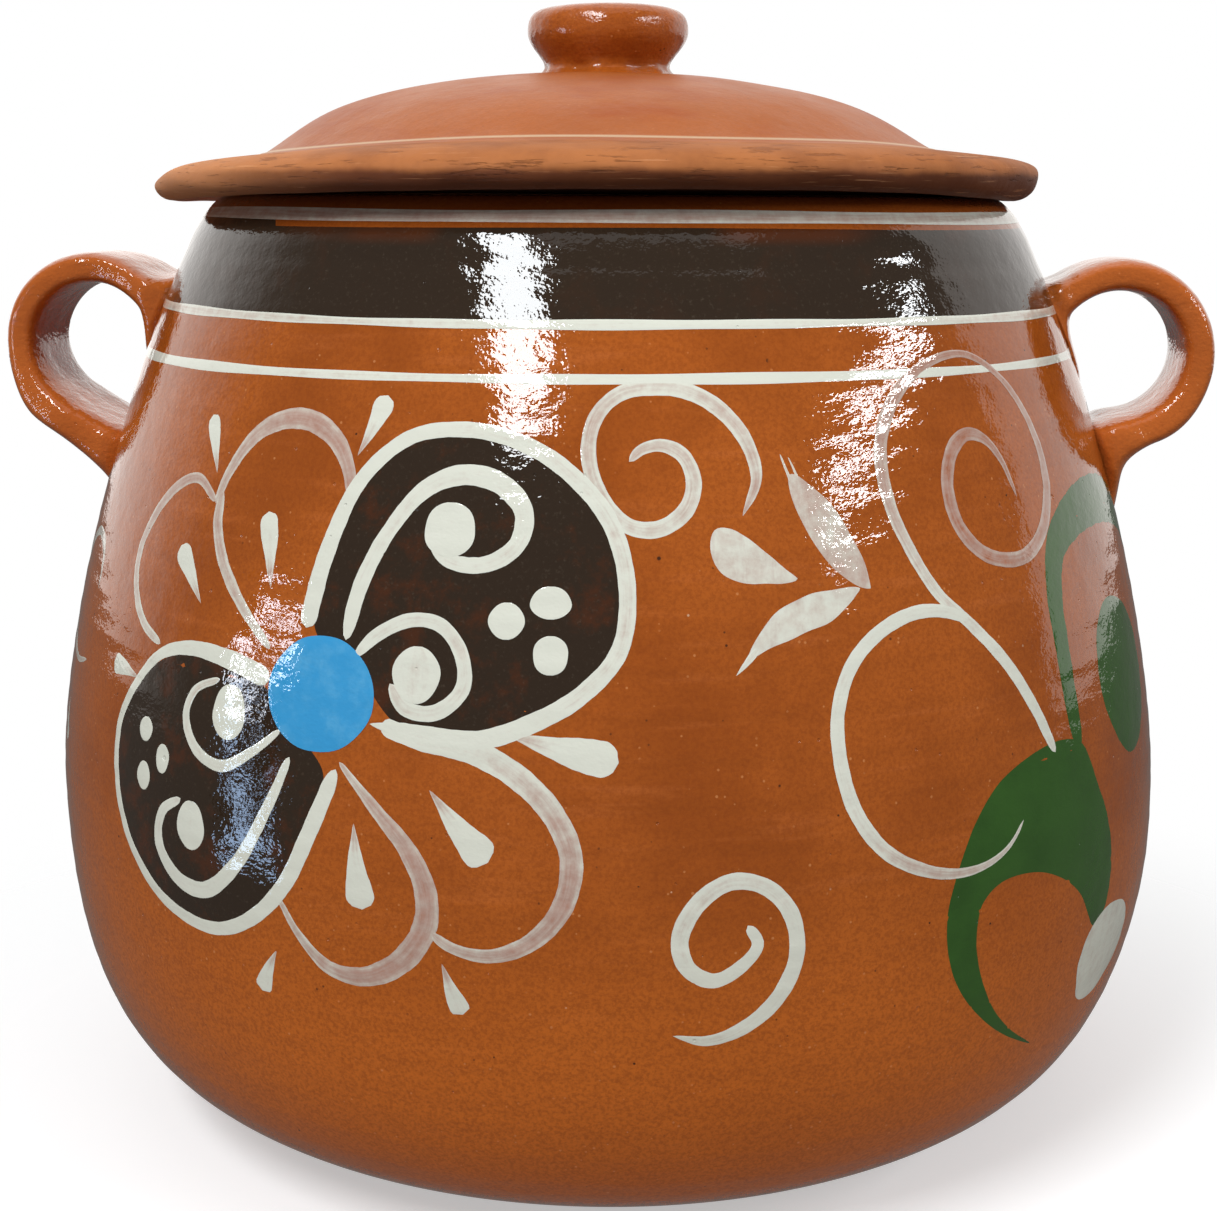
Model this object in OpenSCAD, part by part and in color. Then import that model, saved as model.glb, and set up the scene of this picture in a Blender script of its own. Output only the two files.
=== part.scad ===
// Lidded bean pot (olla) of glazed earthenware with two looped strap handles.
// Millimetres, +Z up. The origin is the centre of the foot, -Y is the front, and the
// handles stand on the +X and -X sides.

/* [Pot] */
// Radius of the belly at its widest
belly_r = 134.8; // [110:0.5:150]
// Height of the widest point above the foot
belly_z = 85; // [70:1:100]
// Radius of the flat foot
foot_r = 72; // [55:1:85]
// Radius where the shoulder turns into the rolled lip
shoulder_r = 102.4; // [98:0.2:106]
// Height where the shoulder turns into the rolled lip
shoulder_z = 207.7; // [190:0.5:225]
// Height of the rolled lip above the shoulder
lip_h = 13.8; // [10:0.2:18]
// Width of the rolled lip, from the shoulder in to the mouth
lip_w = 14.9; // [12:0.1:20]
// Thickness of the wall
wall = 7; // [5:0.5:9]
// Thickness of the floor
floor_t = 9; // [6:0.5:14]

/* [Handles] */
// Drop from the shoulder's edge to the middle of a handle's eye
handle_drop = 22.2; // [20:0.2:45]
// Distance from the wall to the middle of the left handle's eye
eye_out_left = 15; // [9:0.2:20]
// Distance from the wall to the middle of the right handle's eye
eye_out_right = 10.4; // [9:0.2:20]
// Radius of the strap's middle line round the eye
loop_r = 18.4; // [15:0.2:24]
// Thickness of the strap
strap_t = 7.8; // [5:0.2:10]
// Width of the strap over the top of the loop
strap_w = 30; // [20:0.5:38]
// Extra width where the strap is pressed into the wall
root_flare = 7; // [0:0.5:12]
// Length of the thumbed tail on the wall below the loop
tail_l = 14; // [6:0.5:24]
// Reach of the thumbed tongue on the wall below the middle of the eye
tongue_l = 10; // [4:0.5:11]

/* [Lid] */
// How far the lid's flange reaches past the shoulder
overhang = 3.6; // [2:0.1:12]
// Width of the lid's flange, from its edge in to the dome
flange_w = 25.6; // [16:0.1:32]
// Thickness of the flange at its rounded edge
flange_t = 7.8; // [6:0.2:11]
// Reach of the rounding over the flange's edge, measured in from the edge
edge_nose = 9; // [5:0.5:14]
// Rise of the flange's top from its edge to the dome
flange_rise = 2.8; // [1:0.2:8]
// Height of the dome above the step
dome_h = 18.8; // [12:0.2:26]
// Thickness of the dome
dome_t = 6; // [4:0.2:9]
// Gap between the lid's flange and the pot's lip
seat_gap = 0.3; // [0.1:0.05:0.5]
// Slack between the locating ring and the mouth, on the radius
ring_play = 4; // [2:0.2:6]
// Share of that slack by which the lid sits off centre, towards -X
lid_off = 0.7; // [0:0.05:0.9]
// Thickness of the locating ring
ring_t = 6.5; // [4:0.2:9]
// How far the locating ring reaches into the mouth
ring_drop = 9; // [5:0.5:14]

/* [Knob] */
// Largest radius of the knob
knob_r = 19.6; // [17:0.2:26]
// Height of the knob above the dome
knob_h = 15.8; // [12:0.1:22]
// Radius of the knob's neck
neck_r = 15.2; // [10:0.2:16]
// Depth of the thumbed dimple in the knob's top
dimple = 0.6; // [0:0.1:2]
// Place of the knob on the lid, towards +X of the lid's centre
knob_x = 2; // [-4:0.5:4]

/* [Hidden] */
$fn = 128;

clay = [0.72, 0.36, 0.16];
clay_handle = [0.62, 0.33, 0.18];
clay_lid = [0.70, 0.40, 0.22];

// Point at t, from 0 to 1, on the cubic curve with control points p
function bezier(p, t) =
    pow(1 - t, 3) * p[0] + 3 * t * pow(1 - t, 2) * p[1] +
    3 * t * t * (1 - t) * p[2] + pow(t, 3) * p[3];

// The curve's points after its first one, in n steps
function curve(p, n) = [for (i = [1:n]) bezier(p, i / n)];

// Straight join between values a and b
function mix(a, b, t) = a + (b - a) * t;

// Smooth step from 0 to 1 while x goes from a to b
function ease(a, b, x) =
    let (t = max(0, min(1, (x - a) / (b - a))))
    t * t * (3 - 2 * t);

// Outside of the pot: foot, belly, shoulder and rolled lip as [radius, height]
lip_z = shoulder_z + lip_h;
mouth_r = shoulder_r - lip_w;
lip_mid_r = (mouth_r + shoulder_r) / 2 - 4;
lower_curve = [
    [foot_r, 0],
    [mix(foot_r, belly_r, 0.68), belly_z * 0.075],
    [belly_r, belly_z * 0.275],
    [belly_r, belly_z]
];
upper_curve = [
    [belly_r, belly_z],
    [belly_r, mix(belly_z, shoulder_z, 0.27)],
    [mix(shoulder_r, belly_r, 0.455), mix(shoulder_z, belly_z, 0.252)],
    [shoulder_r, shoulder_z]
];
lip_curve = [
    [shoulder_r, shoulder_z],
    [shoulder_r - 2.8, shoulder_z + lip_h * 0.47],
    [shoulder_r - 6.6, lip_z],
    [lip_mid_r, lip_z]
];
pot_outside = concat(
    [lower_curve[0]],
    curve(lower_curve, 18),
    curve(upper_curve, 20),
    curve(lip_curve, 8)
);
lip_inside = [
    [lip_mid_r, lip_z],
    [mouth_r + 1, lip_z],
    [mouth_r, lip_z - 2],
    [mouth_r, lip_z - 5]
];

// Radius of the pot's outside at height z
pot_table = [for (p = concat(curve(lower_curve, 18), curve(upper_curve, 20))) [p[1], p[0]]];
function pot_r(z) = lookup(z, pot_table);

// Inside of the pot: the same curves set in by the wall, down to the flat floor
inner_curve_low = [
    [foot_r - wall * 0.6, floor_t],
    [mix(foot_r, belly_r, 0.66) - wall, floor_t + belly_z * 0.03],
    [belly_r - wall, belly_z * 0.32],
    [belly_r - wall, belly_z]
];
inner_curve_high = [
    [belly_r - wall, belly_z],
    [belly_r - wall, mix(belly_z, shoulder_z, 0.27)],
    [mix(shoulder_r, belly_r, 0.455) - wall * 1.1, mix(shoulder_z, belly_z, 0.26)],
    [shoulder_r - wall * 1.1, shoulder_z - 6]
];
inner_lip = [
    [shoulder_r - wall * 1.1, shoulder_z - 6],
    [shoulder_r - wall * 1.1 - 1, shoulder_z - 1],
    [mouth_r, shoulder_z],
    [mouth_r, lip_z - 5]
];
function backwards(p) = [for (i = [len(p) - 1:-1:0]) p[i]];
pot_inside = concat(
    [[0, floor_t], inner_curve_low[0]],
    curve(inner_curve_low, 14),
    curve(inner_curve_high, 16),
    curve(inner_lip, 5)
);

// Lid, as [radius, height]: the flange's edge, the dome and the hollow under the dome
lid_r = shoulder_r + overhang;
dome_r = lid_r - flange_w;
seat_z = lip_z + seat_gap;
edge_drop = 1;
edge_top_z = seat_z - edge_drop + flange_t;
step_z = edge_top_z + flange_rise;
dome_z = step_z + dome_h;
tip_z = seat_z - edge_drop + flange_t * 0.46;
nose_rise = flange_rise * edge_nose / flange_w;
edge_curve = [
    [lid_r - edge_nose * 0.5, seat_z - edge_drop],
    [lid_r - edge_nose * 0.22, seat_z - edge_drop],
    [lid_r, mix(seat_z - edge_drop, tip_z, 0.4)],
    [lid_r, tip_z]
];
nose_curve = [
    [lid_r, tip_z],
    [lid_r, mix(tip_z, edge_top_z, 0.7)],
    [lid_r - edge_nose * 0.4, edge_top_z + nose_rise * 0.4],
    [lid_r - edge_nose, edge_top_z + nose_rise]
];
dome_curve = [
    [dome_r, step_z],
    [dome_r - 11, step_z + dome_h * 0.28],
    [dome_r - 21, step_z + dome_h * 1.03],
    [0, dome_z]
];
ring_r = mouth_r - ring_play;
lid_x = -lid_off * ring_play;
hollow_r = ring_r - ring_t - 0.5;
hollow_curve = [
    [hollow_r, seat_z],
    [hollow_r - 4.5, step_z - 2.6],
    [dome_r - 21, step_z + dome_h * 1.03 - dome_t],
    [0, dome_z - dome_t]
];

// Locating ring: a coil pressed flat against the lid, its lower edge rounded
ring_curve = [
    [ring_r - ring_t, seat_z - ring_drop * 0.6],
    [ring_r - ring_t, seat_z - ring_drop * 1.13],
    [ring_r, seat_z - ring_drop * 1.13],
    [ring_r, seat_z - ring_drop * 0.6]
];

// Knob: luted foot, neck, swelling and flattened top as [radius, height]
neck_z = dome_z + knob_h * 0.1;
swell_z = dome_z + knob_h * 0.64;
knob_top_z = dome_z + knob_h;
knob_foot_curve = [
    [neck_r + 1.8, dome_z - 1.6],
    [neck_r + 1.2, dome_z - 0.2],
    [neck_r, dome_z],
    [neck_r, neck_z]
];
knob_side_curve = [
    [neck_r, neck_z],
    [neck_r, neck_z + knob_h * 0.2],
    [knob_r, swell_z - knob_h * 0.24],
    [knob_r, swell_z]
];
knob_top_curve = [
    [knob_r, swell_z],
    [knob_r, knob_top_z - knob_h * 0.08],
    [knob_r * 0.78, knob_top_z + 0.1],
    [knob_r * 0.5, knob_top_z]
];

// Strap, seen from its edge: an outline on the side of the eye and one on the far side.
// Station 0 is the lower root, sunk in the wall, 1 to 2 goes round the eye, and 3 is the
// upper root, where the strap's end is thumbed down the wall as a tongue inside the eye.
root_steps = 8;
loop_steps = 26;
strap_sides = 16;
handle_z = shoulder_z - handle_drop;
eye_r = loop_r - strap_t / 2;
back_r = loop_r + strap_t / 2;
root_sink = 3;
stations = concat(
    [for (i = [0:root_steps - 1]) i / root_steps],
    [for (i = [0:loop_steps - 1]) 1 + i / loop_steps],
    [for (i = [0:root_steps]) 2 + i / root_steps]
);

// Points in the handle's own plane as [radius, height]: one that lies deeper than the
// wall's face by sink, and one on a circle round an eye that stands out from the wall
function wall_point(z, sink) = [pot_r(z) - sink, z];
function eye_point(out, r, a) = [pot_r(handle_z) + out + r * cos(a), handle_z + r * sin(a)];

// Lower root: the far side runs down the wall as a tail
function low_inner(out) = [
    wall_point(handle_z - eye_r * 0.86, root_sink),
    wall_point(handle_z - eye_r * 0.9, -1),
    eye_point(out, eye_r, -100) - [4, -1],
    eye_point(out, eye_r, -100)
];
function low_outer(out) = [
    wall_point(handle_z - back_r - tail_l, 1.4),
    wall_point(handle_z - back_r - tail_l * 0.45, -0.6),
    eye_point(out, back_r, -85) - [4.5, 0],
    eye_point(out, back_r, -85)
];

// Upper root: the side of the eye runs down the wall as a tongue
function high_inner(out) = [
    eye_point(out, eye_r, 135),
    eye_point(out, eye_r, 135) - [3.5, 3.5],
    wall_point(handle_z - tongue_l * 0.25, -2),
    wall_point(handle_z - tongue_l, 1.2)
];
function high_outer(out) = [
    eye_point(out, back_r, 125),
    eye_point(out, back_r, 125) - [4.5, 3],
    wall_point(handle_z + back_r * 0.75, 1),
    wall_point(handle_z + back_r * 0.82, root_sink)
];
function inner_edge(s, out) =
    s < 1 ? bezier(low_inner(out), s) :
    s < 2 ? eye_point(out, eye_r, mix(-100, 135, s - 1)) :
    bezier(high_inner(out), s - 2);
function outer_edge(s, out) =
    s < 1 ? bezier(low_outer(out), s) :
    s < 2 ? eye_point(out, back_r, mix(-85, 125, s - 1)) :
    bezier(high_outer(out), s - 2);

// Half width at a station: full round the eye, flared where it is pressed on, drawn in at
// the thumbed ends
function strap_half_w(s) =
    strap_w / 2
    + root_flare / 2 * (ease(0, 0.4, s) * (1 - ease(0.8, 1.3, s)))
    + root_flare / 2 * (ease(1.75, 2.15, s) * (1 - ease(2.5, 3, s)));

// How far the section wraps round the wall: fully at the roots, not at all round the eye
function strap_wrap(s) = max(1 - ease(0.6, 1.1, s), ease(1.85, 2.2, s));

// Rounded rectangle of the strap at a station, as points in space
function rounded(value) = sign(value) * sqrt(abs(value));
function strap_ring(s, out) = [
    for (k = [0:strap_sides - 1])
        let (
            a = 360 * (k + 0.5) / strap_sides,
            across = strap_half_w(s) * rounded(cos(a)),
            edge = mix(inner_edge(s, out), outer_edge(s, out), (1 + rounded(sin(a))) / 2),
            bend = strap_wrap(s) * across * across / (2 * pot_r(edge[1]))
        )
        [edge[0] - bend, across, edge[1]]
];
function strap_points(out) = [for (s = stations) each strap_ring(s, out)];
rings = len(stations);
function ring_index(i, k) = i * strap_sides + k % strap_sides;
strap_faces = concat(
    [[for (k = [0:strap_sides - 1]) k]],
    [
        for (i = [0:rings - 2], k = [0:strap_sides - 1])
            each [
                [ring_index(i, k), ring_index(i + 1, k), ring_index(i + 1, k + 1)],
                [ring_index(i, k), ring_index(i + 1, k + 1), ring_index(i, k + 1)]
            ]
    ],
    [[for (k = [strap_sides - 1:-1:0]) ring_index(rings - 1, k)]]
);

module pot() {
    color(clay)
    rotate_extrude()
        polygon(concat([[0, 0]], pot_outside, lip_inside, backwards(pot_inside)));
}

// Solid that fills the pot's outside, which trims what is pressed on to its wall
module pot_outline() {
    rotate_extrude()
        polygon(concat([[0, 0]], pot_outside, [[0, lip_z]]));
}

// Pulled strap on the +X side, trimmed to the wall that it is luted to
module strap_handle(out) {
    color(clay_handle)
    difference() {
        polyhedron(strap_points(out), strap_faces, convexity = 6);
        pot_outline();
    }
}

module handle_left() {
    mirror([1, 0, 0])
        strap_handle(eye_out_left);
}

module handle_right() {
    strap_handle(eye_out_right);
}

module lid() {
    color(clay_lid)
    translate([lid_x, 0, 0])
    rotate_extrude()
        polygon(concat(
            backwards(curve(hollow_curve, 16)),
            [hollow_curve[0], [lip_mid_r + 3, seat_z], edge_curve[0]],
            curve(edge_curve, 6),
            curve(nose_curve, 8),
            [dome_curve[0]],
            curve(dome_curve, 20)
        ));
}

module lid_ring() {
    color(clay_lid)
    translate([lid_x, 0, 0])
    rotate_extrude()
        polygon(concat(
            [[ring_r, seat_z], [ring_r - ring_t, seat_z], ring_curve[0]],
            curve(ring_curve, 10)
        ));
}

// Solid under the dome's top face, which shapes the knob's foot to it
module dome_outline() {
    translate([lid_x, 0, 0])
    rotate_extrude()
        polygon(concat([[0, seat_z], dome_curve[0]], curve(dome_curve, 20)));
}

module lid_knob() {
    color(clay_lid)
    difference() {
        translate([lid_x + knob_x, 0, 0])
        rotate_extrude()
            polygon(concat(
                [[0, knob_foot_curve[0][1]], knob_foot_curve[0]],
                curve(knob_foot_curve, 6),
                curve(knob_side_curve, 10),
                curve(knob_top_curve, 10),
                [[0, knob_top_z - dimple]]
            ));
        dome_outline();
    }
}

pot();
handle_left();
handle_right();
lid();
lid_ring();
lid_knob();
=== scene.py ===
"""Lidded olla: a glazed earthenware pot with painted slip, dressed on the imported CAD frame.

Sizes are in millimetres until a mesh is made. A place on the pot's wall is (degrees round
from the front towards +X, height above the foot).
"""

import math

import bpy
import numpy as np
from mathutils.geometry import delaunay_2d_cdt
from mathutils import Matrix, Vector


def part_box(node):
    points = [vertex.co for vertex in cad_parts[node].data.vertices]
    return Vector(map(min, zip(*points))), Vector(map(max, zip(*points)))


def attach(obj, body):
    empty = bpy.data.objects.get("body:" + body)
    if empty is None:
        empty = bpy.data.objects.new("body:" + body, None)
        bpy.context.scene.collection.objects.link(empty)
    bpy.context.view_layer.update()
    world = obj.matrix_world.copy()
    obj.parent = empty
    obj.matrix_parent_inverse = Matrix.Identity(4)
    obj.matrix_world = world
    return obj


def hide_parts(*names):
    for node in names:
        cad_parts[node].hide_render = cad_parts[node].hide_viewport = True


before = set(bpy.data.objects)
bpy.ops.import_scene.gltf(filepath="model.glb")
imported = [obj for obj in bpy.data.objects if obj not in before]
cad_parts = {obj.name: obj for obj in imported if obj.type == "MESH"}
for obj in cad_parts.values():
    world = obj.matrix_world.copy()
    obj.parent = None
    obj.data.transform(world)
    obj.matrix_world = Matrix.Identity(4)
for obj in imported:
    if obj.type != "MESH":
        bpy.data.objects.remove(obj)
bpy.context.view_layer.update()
MM = 0.001

# Camera, from the photograph's viewing angle

CAMERA_TURN = 5.3       # degrees round from the front, towards the right handle
CAMERA_DISTANCE = 515.0
CAMERA_HEIGHT = 220.2
CAMERA_PITCH = 11.0     # degrees down
CAMERA_ROLL = 0.25
CAMERA_LENS = 61.43     # for a 36 mm wide frame


def aim_camera():
    data = bpy.data.cameras.new("camera")
    data.sensor_fit = "HORIZONTAL"
    data.sensor_width = 36.0
    data.lens = CAMERA_LENS
    data.clip_start = 0.01
    camera = bpy.data.objects.new("camera", data)
    bpy.context.scene.collection.objects.link(camera)
    turn = math.radians(CAMERA_TURN)
    place = (CAMERA_DISTANCE * math.sin(turn), -CAMERA_DISTANCE * math.cos(turn), CAMERA_HEIGHT)
    camera.location = [v * MM for v in place]
    camera.rotation_mode = "XYZ"
    camera.rotation_euler = (math.radians(90 - CAMERA_PITCH), 0, turn)
    camera.rotation_euler.rotate_axis("Z", math.radians(CAMERA_ROLL))
    bpy.context.scene.camera = camera


# Shapes shared by the pot, the handles and the painting


def mix(a, b, t):
    return a + (b - a) * t


def ease(a, b, x):
    t = np.clip((np.asarray(x, float) - a) / (b - a), 0, 1)
    return t * t * (3 - 2 * t)


def bezier(points, steps):
    p = np.array(points, float)
    t = np.linspace(0, 1, steps + 1)[:, None]
    s = 1 - t
    return s ** 3 * p[0] + 3 * t * s ** 2 * p[1] + 3 * t * t * s * p[2] + t ** 3 * p[3]


def chain(*curves):
    """Curves joined end to end, with each shared point kept once."""
    return np.vstack([curves[0]] + [c[1:] for c in curves[1:]])


pot_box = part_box("pot")
lid_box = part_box("lid")
knob_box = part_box("lid_knob")
BELLY_R = pot_box[1].y / MM
LIP_Z = pot_box[1].z / MM
BELLY_Z = 85.0
FOOT_R = 72.0
LIP_H = 13.8
SHOULDER_R = 102.4
SHOULDER_Z = LIP_Z - LIP_H
LIP_W = 14.9
MOUTH_R = SHOULDER_R - LIP_W
LIP_MID_R = (MOUTH_R + SHOULDER_R) / 2 - 4
WALL = 7.0
FLOOR_T = 9.0

lower = bezier([
    (FOOT_R, 0),
    (mix(FOOT_R, BELLY_R, 0.68), BELLY_Z * 0.075),
    (BELLY_R, BELLY_Z * 0.275),
    (BELLY_R, BELLY_Z),
], 96)
upper = bezier([
    (BELLY_R, BELLY_Z),
    (BELLY_R, mix(BELLY_Z, SHOULDER_Z, 0.27)),
    (mix(SHOULDER_R, BELLY_R, 0.455), mix(SHOULDER_Z, BELLY_Z, 0.252)),
    (SHOULDER_R, SHOULDER_Z),
], 130)
lip = bezier([
    (SHOULDER_R, SHOULDER_Z),
    (SHOULDER_R - 2.8, SHOULDER_Z + LIP_H * 0.47),
    (SHOULDER_R - 6.6, LIP_Z),
    (LIP_MID_R, LIP_Z),
], 30)
outside = chain(lower, upper, lip)


def pot_r(z):
    return np.interp(z, outside[:, 1], outside[:, 0])


def lean(z):
    """Angle by which the wall's outward normal tips up, in radians."""
    return np.arctan((pot_r(np.asarray(z) - 0.6) - pot_r(np.asarray(z) + 0.6)) / 1.2)


def thrown(turn, z):
    """Small inward departures of the hand-thrown wall from a true round, in millimetres."""
    rings = 0.03 * np.sin(z * 0.83 + 0.9 * np.sin(turn) + 1.6 * np.sin(z / 29))
    rings = rings + 0.02 * np.sin(z * 1.47 + 2 * turn + 0.7)
    sway = 0.16 * np.sin(2 * turn + 0.6 + z / 90) + 0.09 * np.sin(3 * turn + 2.1 - z / 47)
    dents = 0.07 * np.sin(5 * turn + z / 13) * np.sin(z / 19 + 2 * turn)
    full = 1.3 * np.exp(-((turn % (2 * math.pi) - 1.75) / 0.6) ** 2 - ((z - 66) / 20) ** 2)
    return (rings + sway + dents + full - 0.42) * ease(0, 8, z)


def on_wall(degrees, z, lift=0.0):
    """Points on the pot's wall, raised along its normal, in millimetres."""
    turn = np.radians(degrees)
    z = np.asarray(z, float)
    tip = lean(z)
    r = pot_r(z) + thrown(turn, z) + lift * np.cos(tip)
    return np.stack([r * np.sin(turn), -r * np.cos(turn), z + lift * np.sin(tip)], -1)


# Meshes


def make_object(name, points, faces, attributes=None):
    mesh = bpy.data.meshes.new(name)
    mesh.from_pydata((np.asarray(points) * MM).tolist(), [], faces)
    for key, values in (attributes or {}).items():
        layer = mesh.attributes.new(key, "FLOAT", "POINT")
        layer.data.foreach_set("value", np.asarray(values, np.float32))
    mesh.validate()
    mesh.shade_smooth()
    piece = bpy.data.objects.new(name, mesh)
    bpy.context.scene.collection.objects.link(piece)
    return piece


def finish_piece(piece, body, slot, material, *replaced):
    piece.data.materials.append(material)
    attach(piece, body)
    if replaced:
        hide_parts(*replaced)


def quads(rows, columns, closed=True):
    """Faces of a grid of points that runs row by row, each row a ring where closed."""
    span = columns if closed else columns - 1
    return [
        (i * columns + k, i * columns + (k + 1) % columns,
         (i + 1) * columns + (k + 1) % columns, (i + 1) * columns + k)
        for i in range(rows - 1) for k in range(span)
    ]


def revolve(name, outline, columns, shift=None, centre=0.0):
    """Turns an outline of (radius, height) about the axis through x = centre. Ends on the
    axis close to one point, and shift(turn, r, z) gives the offsets (dr, dz)."""
    outline = np.asarray(outline, float)
    ends = [outline[0, 0] < 1e-6, outline[-1, 0] < 1e-6]
    rings = outline[1 if ends[0] else 0:len(outline) - 1 if ends[1] else len(outline)]
    turn = np.linspace(0, 2 * math.pi, columns, endpoint=False)[None, :]
    r, z = rings[:, :1] + 0 * turn, rings[:, 1:] + 0 * turn
    if shift:
        dr, dz = shift(turn + 0 * r, r, z)
        r, z = r + dr, z + dz
    points = np.stack([r * np.sin(turn) + centre, -r * np.cos(turn), z], -1).reshape(-1, 3)
    faces = quads(len(rings), columns)
    points = points.tolist()
    if ends[0]:
        points.append([centre, 0, outline[0, 1]])
        faces += [(len(points) - 1, (k + 1) % columns, k) for k in range(columns)]
    if ends[1]:
        last = (len(rings) - 1) * columns
        points.append([centre, 0, outline[-1, 1]])
        faces += [(len(points) - 1, last + k, last + (k + 1) % columns) for k in range(columns)]
    return make_object(name, points, faces)


# Materials


def srgb(r, g, b):
    """Linear colour from the 0 to 255 values of a swatch."""
    def channel(v):
        v = v / 255
        return v / 12.92 if v <= 0.04045 else ((v + 0.055) / 1.055) ** 2.4
    return (channel(r), channel(g), channel(b), 1.0)


CLAY = srgb(178, 92, 31)
CLAY_DEEP = srgb(154, 76, 23)
CLAY_WARM = srgb(196, 108, 52)
GLAZE_SHINE = 0.45      # specular level of the clear glaze
BARE = srgb(178, 108, 58)
BARE_DARK = srgb(128, 70, 36)
SOOT = srgb(62, 36, 22)
BLACK = srgb(50, 38, 28)
BLACK_RED = srgb(92, 44, 18)
WHITE = srgb(226, 226, 212)
WHITE_THIN = srgb(186, 152, 138)
BLUE = srgb(60, 156, 212)
BLUE_PALE = srgb(120, 190, 226)
GREEN = srgb(54, 92, 36)
GREEN_DARK = srgb(38, 70, 26)
CLAY_LIT_LOW = srgb(212, 112, 36)
CLAY_GRAIN = srgb(138, 64, 20)
SAND = srgb(222, 150, 92)
CHALK = srgb(222, 186, 150)
LID_SHADE_PAINTED = srgb(104, 44, 16)
CLAY_PAINTED_LIT = srgb(208, 110, 50)
DUST = srgb(96, 84, 70)
ASH = srgb(170, 150, 124)
DOME_CLAY_SHADED = srgb(168, 90, 32)
DOME_BRUSHED = srgb(156, 70, 14)
FLANGE_LEFT_LIT = srgb(226, 152, 98)
FLANGE_SHADE = srgb(88, 42, 20)
CRACK = srgb(100, 52, 28)
SCRATCHED = srgb(222, 160, 112)
CREST_HIGHLIGHT = srgb(214, 186, 150)


class Shader:
    """One material, built from a few kinds of node over the object's own coordinates."""

    def __init__(self, name):
        self.material = bpy.data.materials.new(name)
        self.material.use_nodes = True
        self.tree = self.material.node_tree
        self.surface = self.tree.nodes["Principled BSDF"]
        self.place = self.node("ShaderNodeTexCoord").outputs["Object"]

    def node(self, kind, inputs=None, **settings):
        made = self.tree.nodes.new(kind)
        for key, value in settings.items():
            setattr(made, key, value)
        for key, value in (inputs or {}).items():
            self.put(made.inputs[key], value)
        return made

    def put(self, socket, value):
        if isinstance(value, bpy.types.NodeSocket):
            self.tree.links.new(value, socket)
        else:
            socket.default_value = value

    def scaled(self, stretch):
        """Object coordinates in millimetres, each axis divided by its stretch."""
        inputs = {"Vector": self.place, "Scale": [1 / (MM * s) for s in stretch]}
        return self.node("ShaderNodeMapping", inputs).outputs["Vector"]

    def noise(self, size, detail=3.0, rough=0.55, stretch=(1, 1, 1), seed=0.0, where=None):
        """Noise from 0 to 1 whose blotches are about size millimetres across."""
        inputs = {
            "Vector": where if where else self.scaled([size * s for s in stretch]),
            "W": seed, "Scale": 1.0, "Detail": detail, "Roughness": rough,
        }
        return self.node("ShaderNodeTexNoise", inputs, noise_dimensions="4D").outputs["Fac"]

    def spots(self, spacing, radius, seed=0.0):
        """1 inside round spots of the given radius on a random lattice, else 0."""
        inputs = {"Vector": self.scaled([spacing] * 3), "W": seed, "Scale": 1.0}
        made = self.node("ShaderNodeTexVoronoi", inputs, voronoi_dimensions="4D")
        return self.step(made.outputs["Distance"], radius / spacing, radius / spacing * 0.6)

    def step(self, value, low, high):
        """0 at low and 1 at high, smoothly between; low may be above high."""
        flip = float(low > high)
        inputs = {
            "Value": value, "From Min": min(low, high), "From Max": max(low, high),
            "To Min": flip, "To Max": 1 - flip,
        }
        made = self.node("ShaderNodeMapRange", inputs, interpolation_type="SMOOTHSTEP")
        return made.outputs["Result"]

    def math(self, operation, a, b=0.0, c=0.0):
        made = self.node("ShaderNodeMath", operation=operation)
        for socket, value in zip(made.inputs, (a, b, c)):
            self.put(socket, value)
        return made.outputs["Value"]

    def times(self, a, b):
        return self.math("MULTIPLY", a, b)

    def blend(self, share, a, b):
        """Colour a where share is 0 and colour b where it is 1."""
        return self.node("ShaderNodeMix", {0: share, 6: a, 7: b}, data_type="RGBA").outputs[2]

    def attribute(self, name):
        return self.node("ShaderNodeAttribute", attribute_name=name).outputs["Fac"]

    def axis(self, name):
        """One of the object's coordinates, in metres."""
        return self.node("ShaderNodeSeparateXYZ", {0: self.place}).outputs[name]

    def height(self):
        """Height above the foot, in millimetres."""
        return self.times(self.axis("Z"), 1 / MM)

    def relief(self, *layers):
        """Bumps from (height socket, depth in mm) pairs, laid one on another."""
        normal = None
        for value, depth in layers:
            made = self.node("ShaderNodeBump", {"Distance": depth * MM, "Height": value})
            if normal:
                self.put(made.inputs["Normal"], normal)
            normal = made.outputs["Normal"]
        self.put(self.surface.inputs["Normal"], normal)

    def colour(self, value):
        self.put(self.surface.inputs["Base Color"], value)

    def gloss(self, roughness, shine=0.5):
        self.put(self.surface.inputs["Roughness"], roughness)
        self.surface.inputs["Specular IOR Level"].default_value = shine


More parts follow.
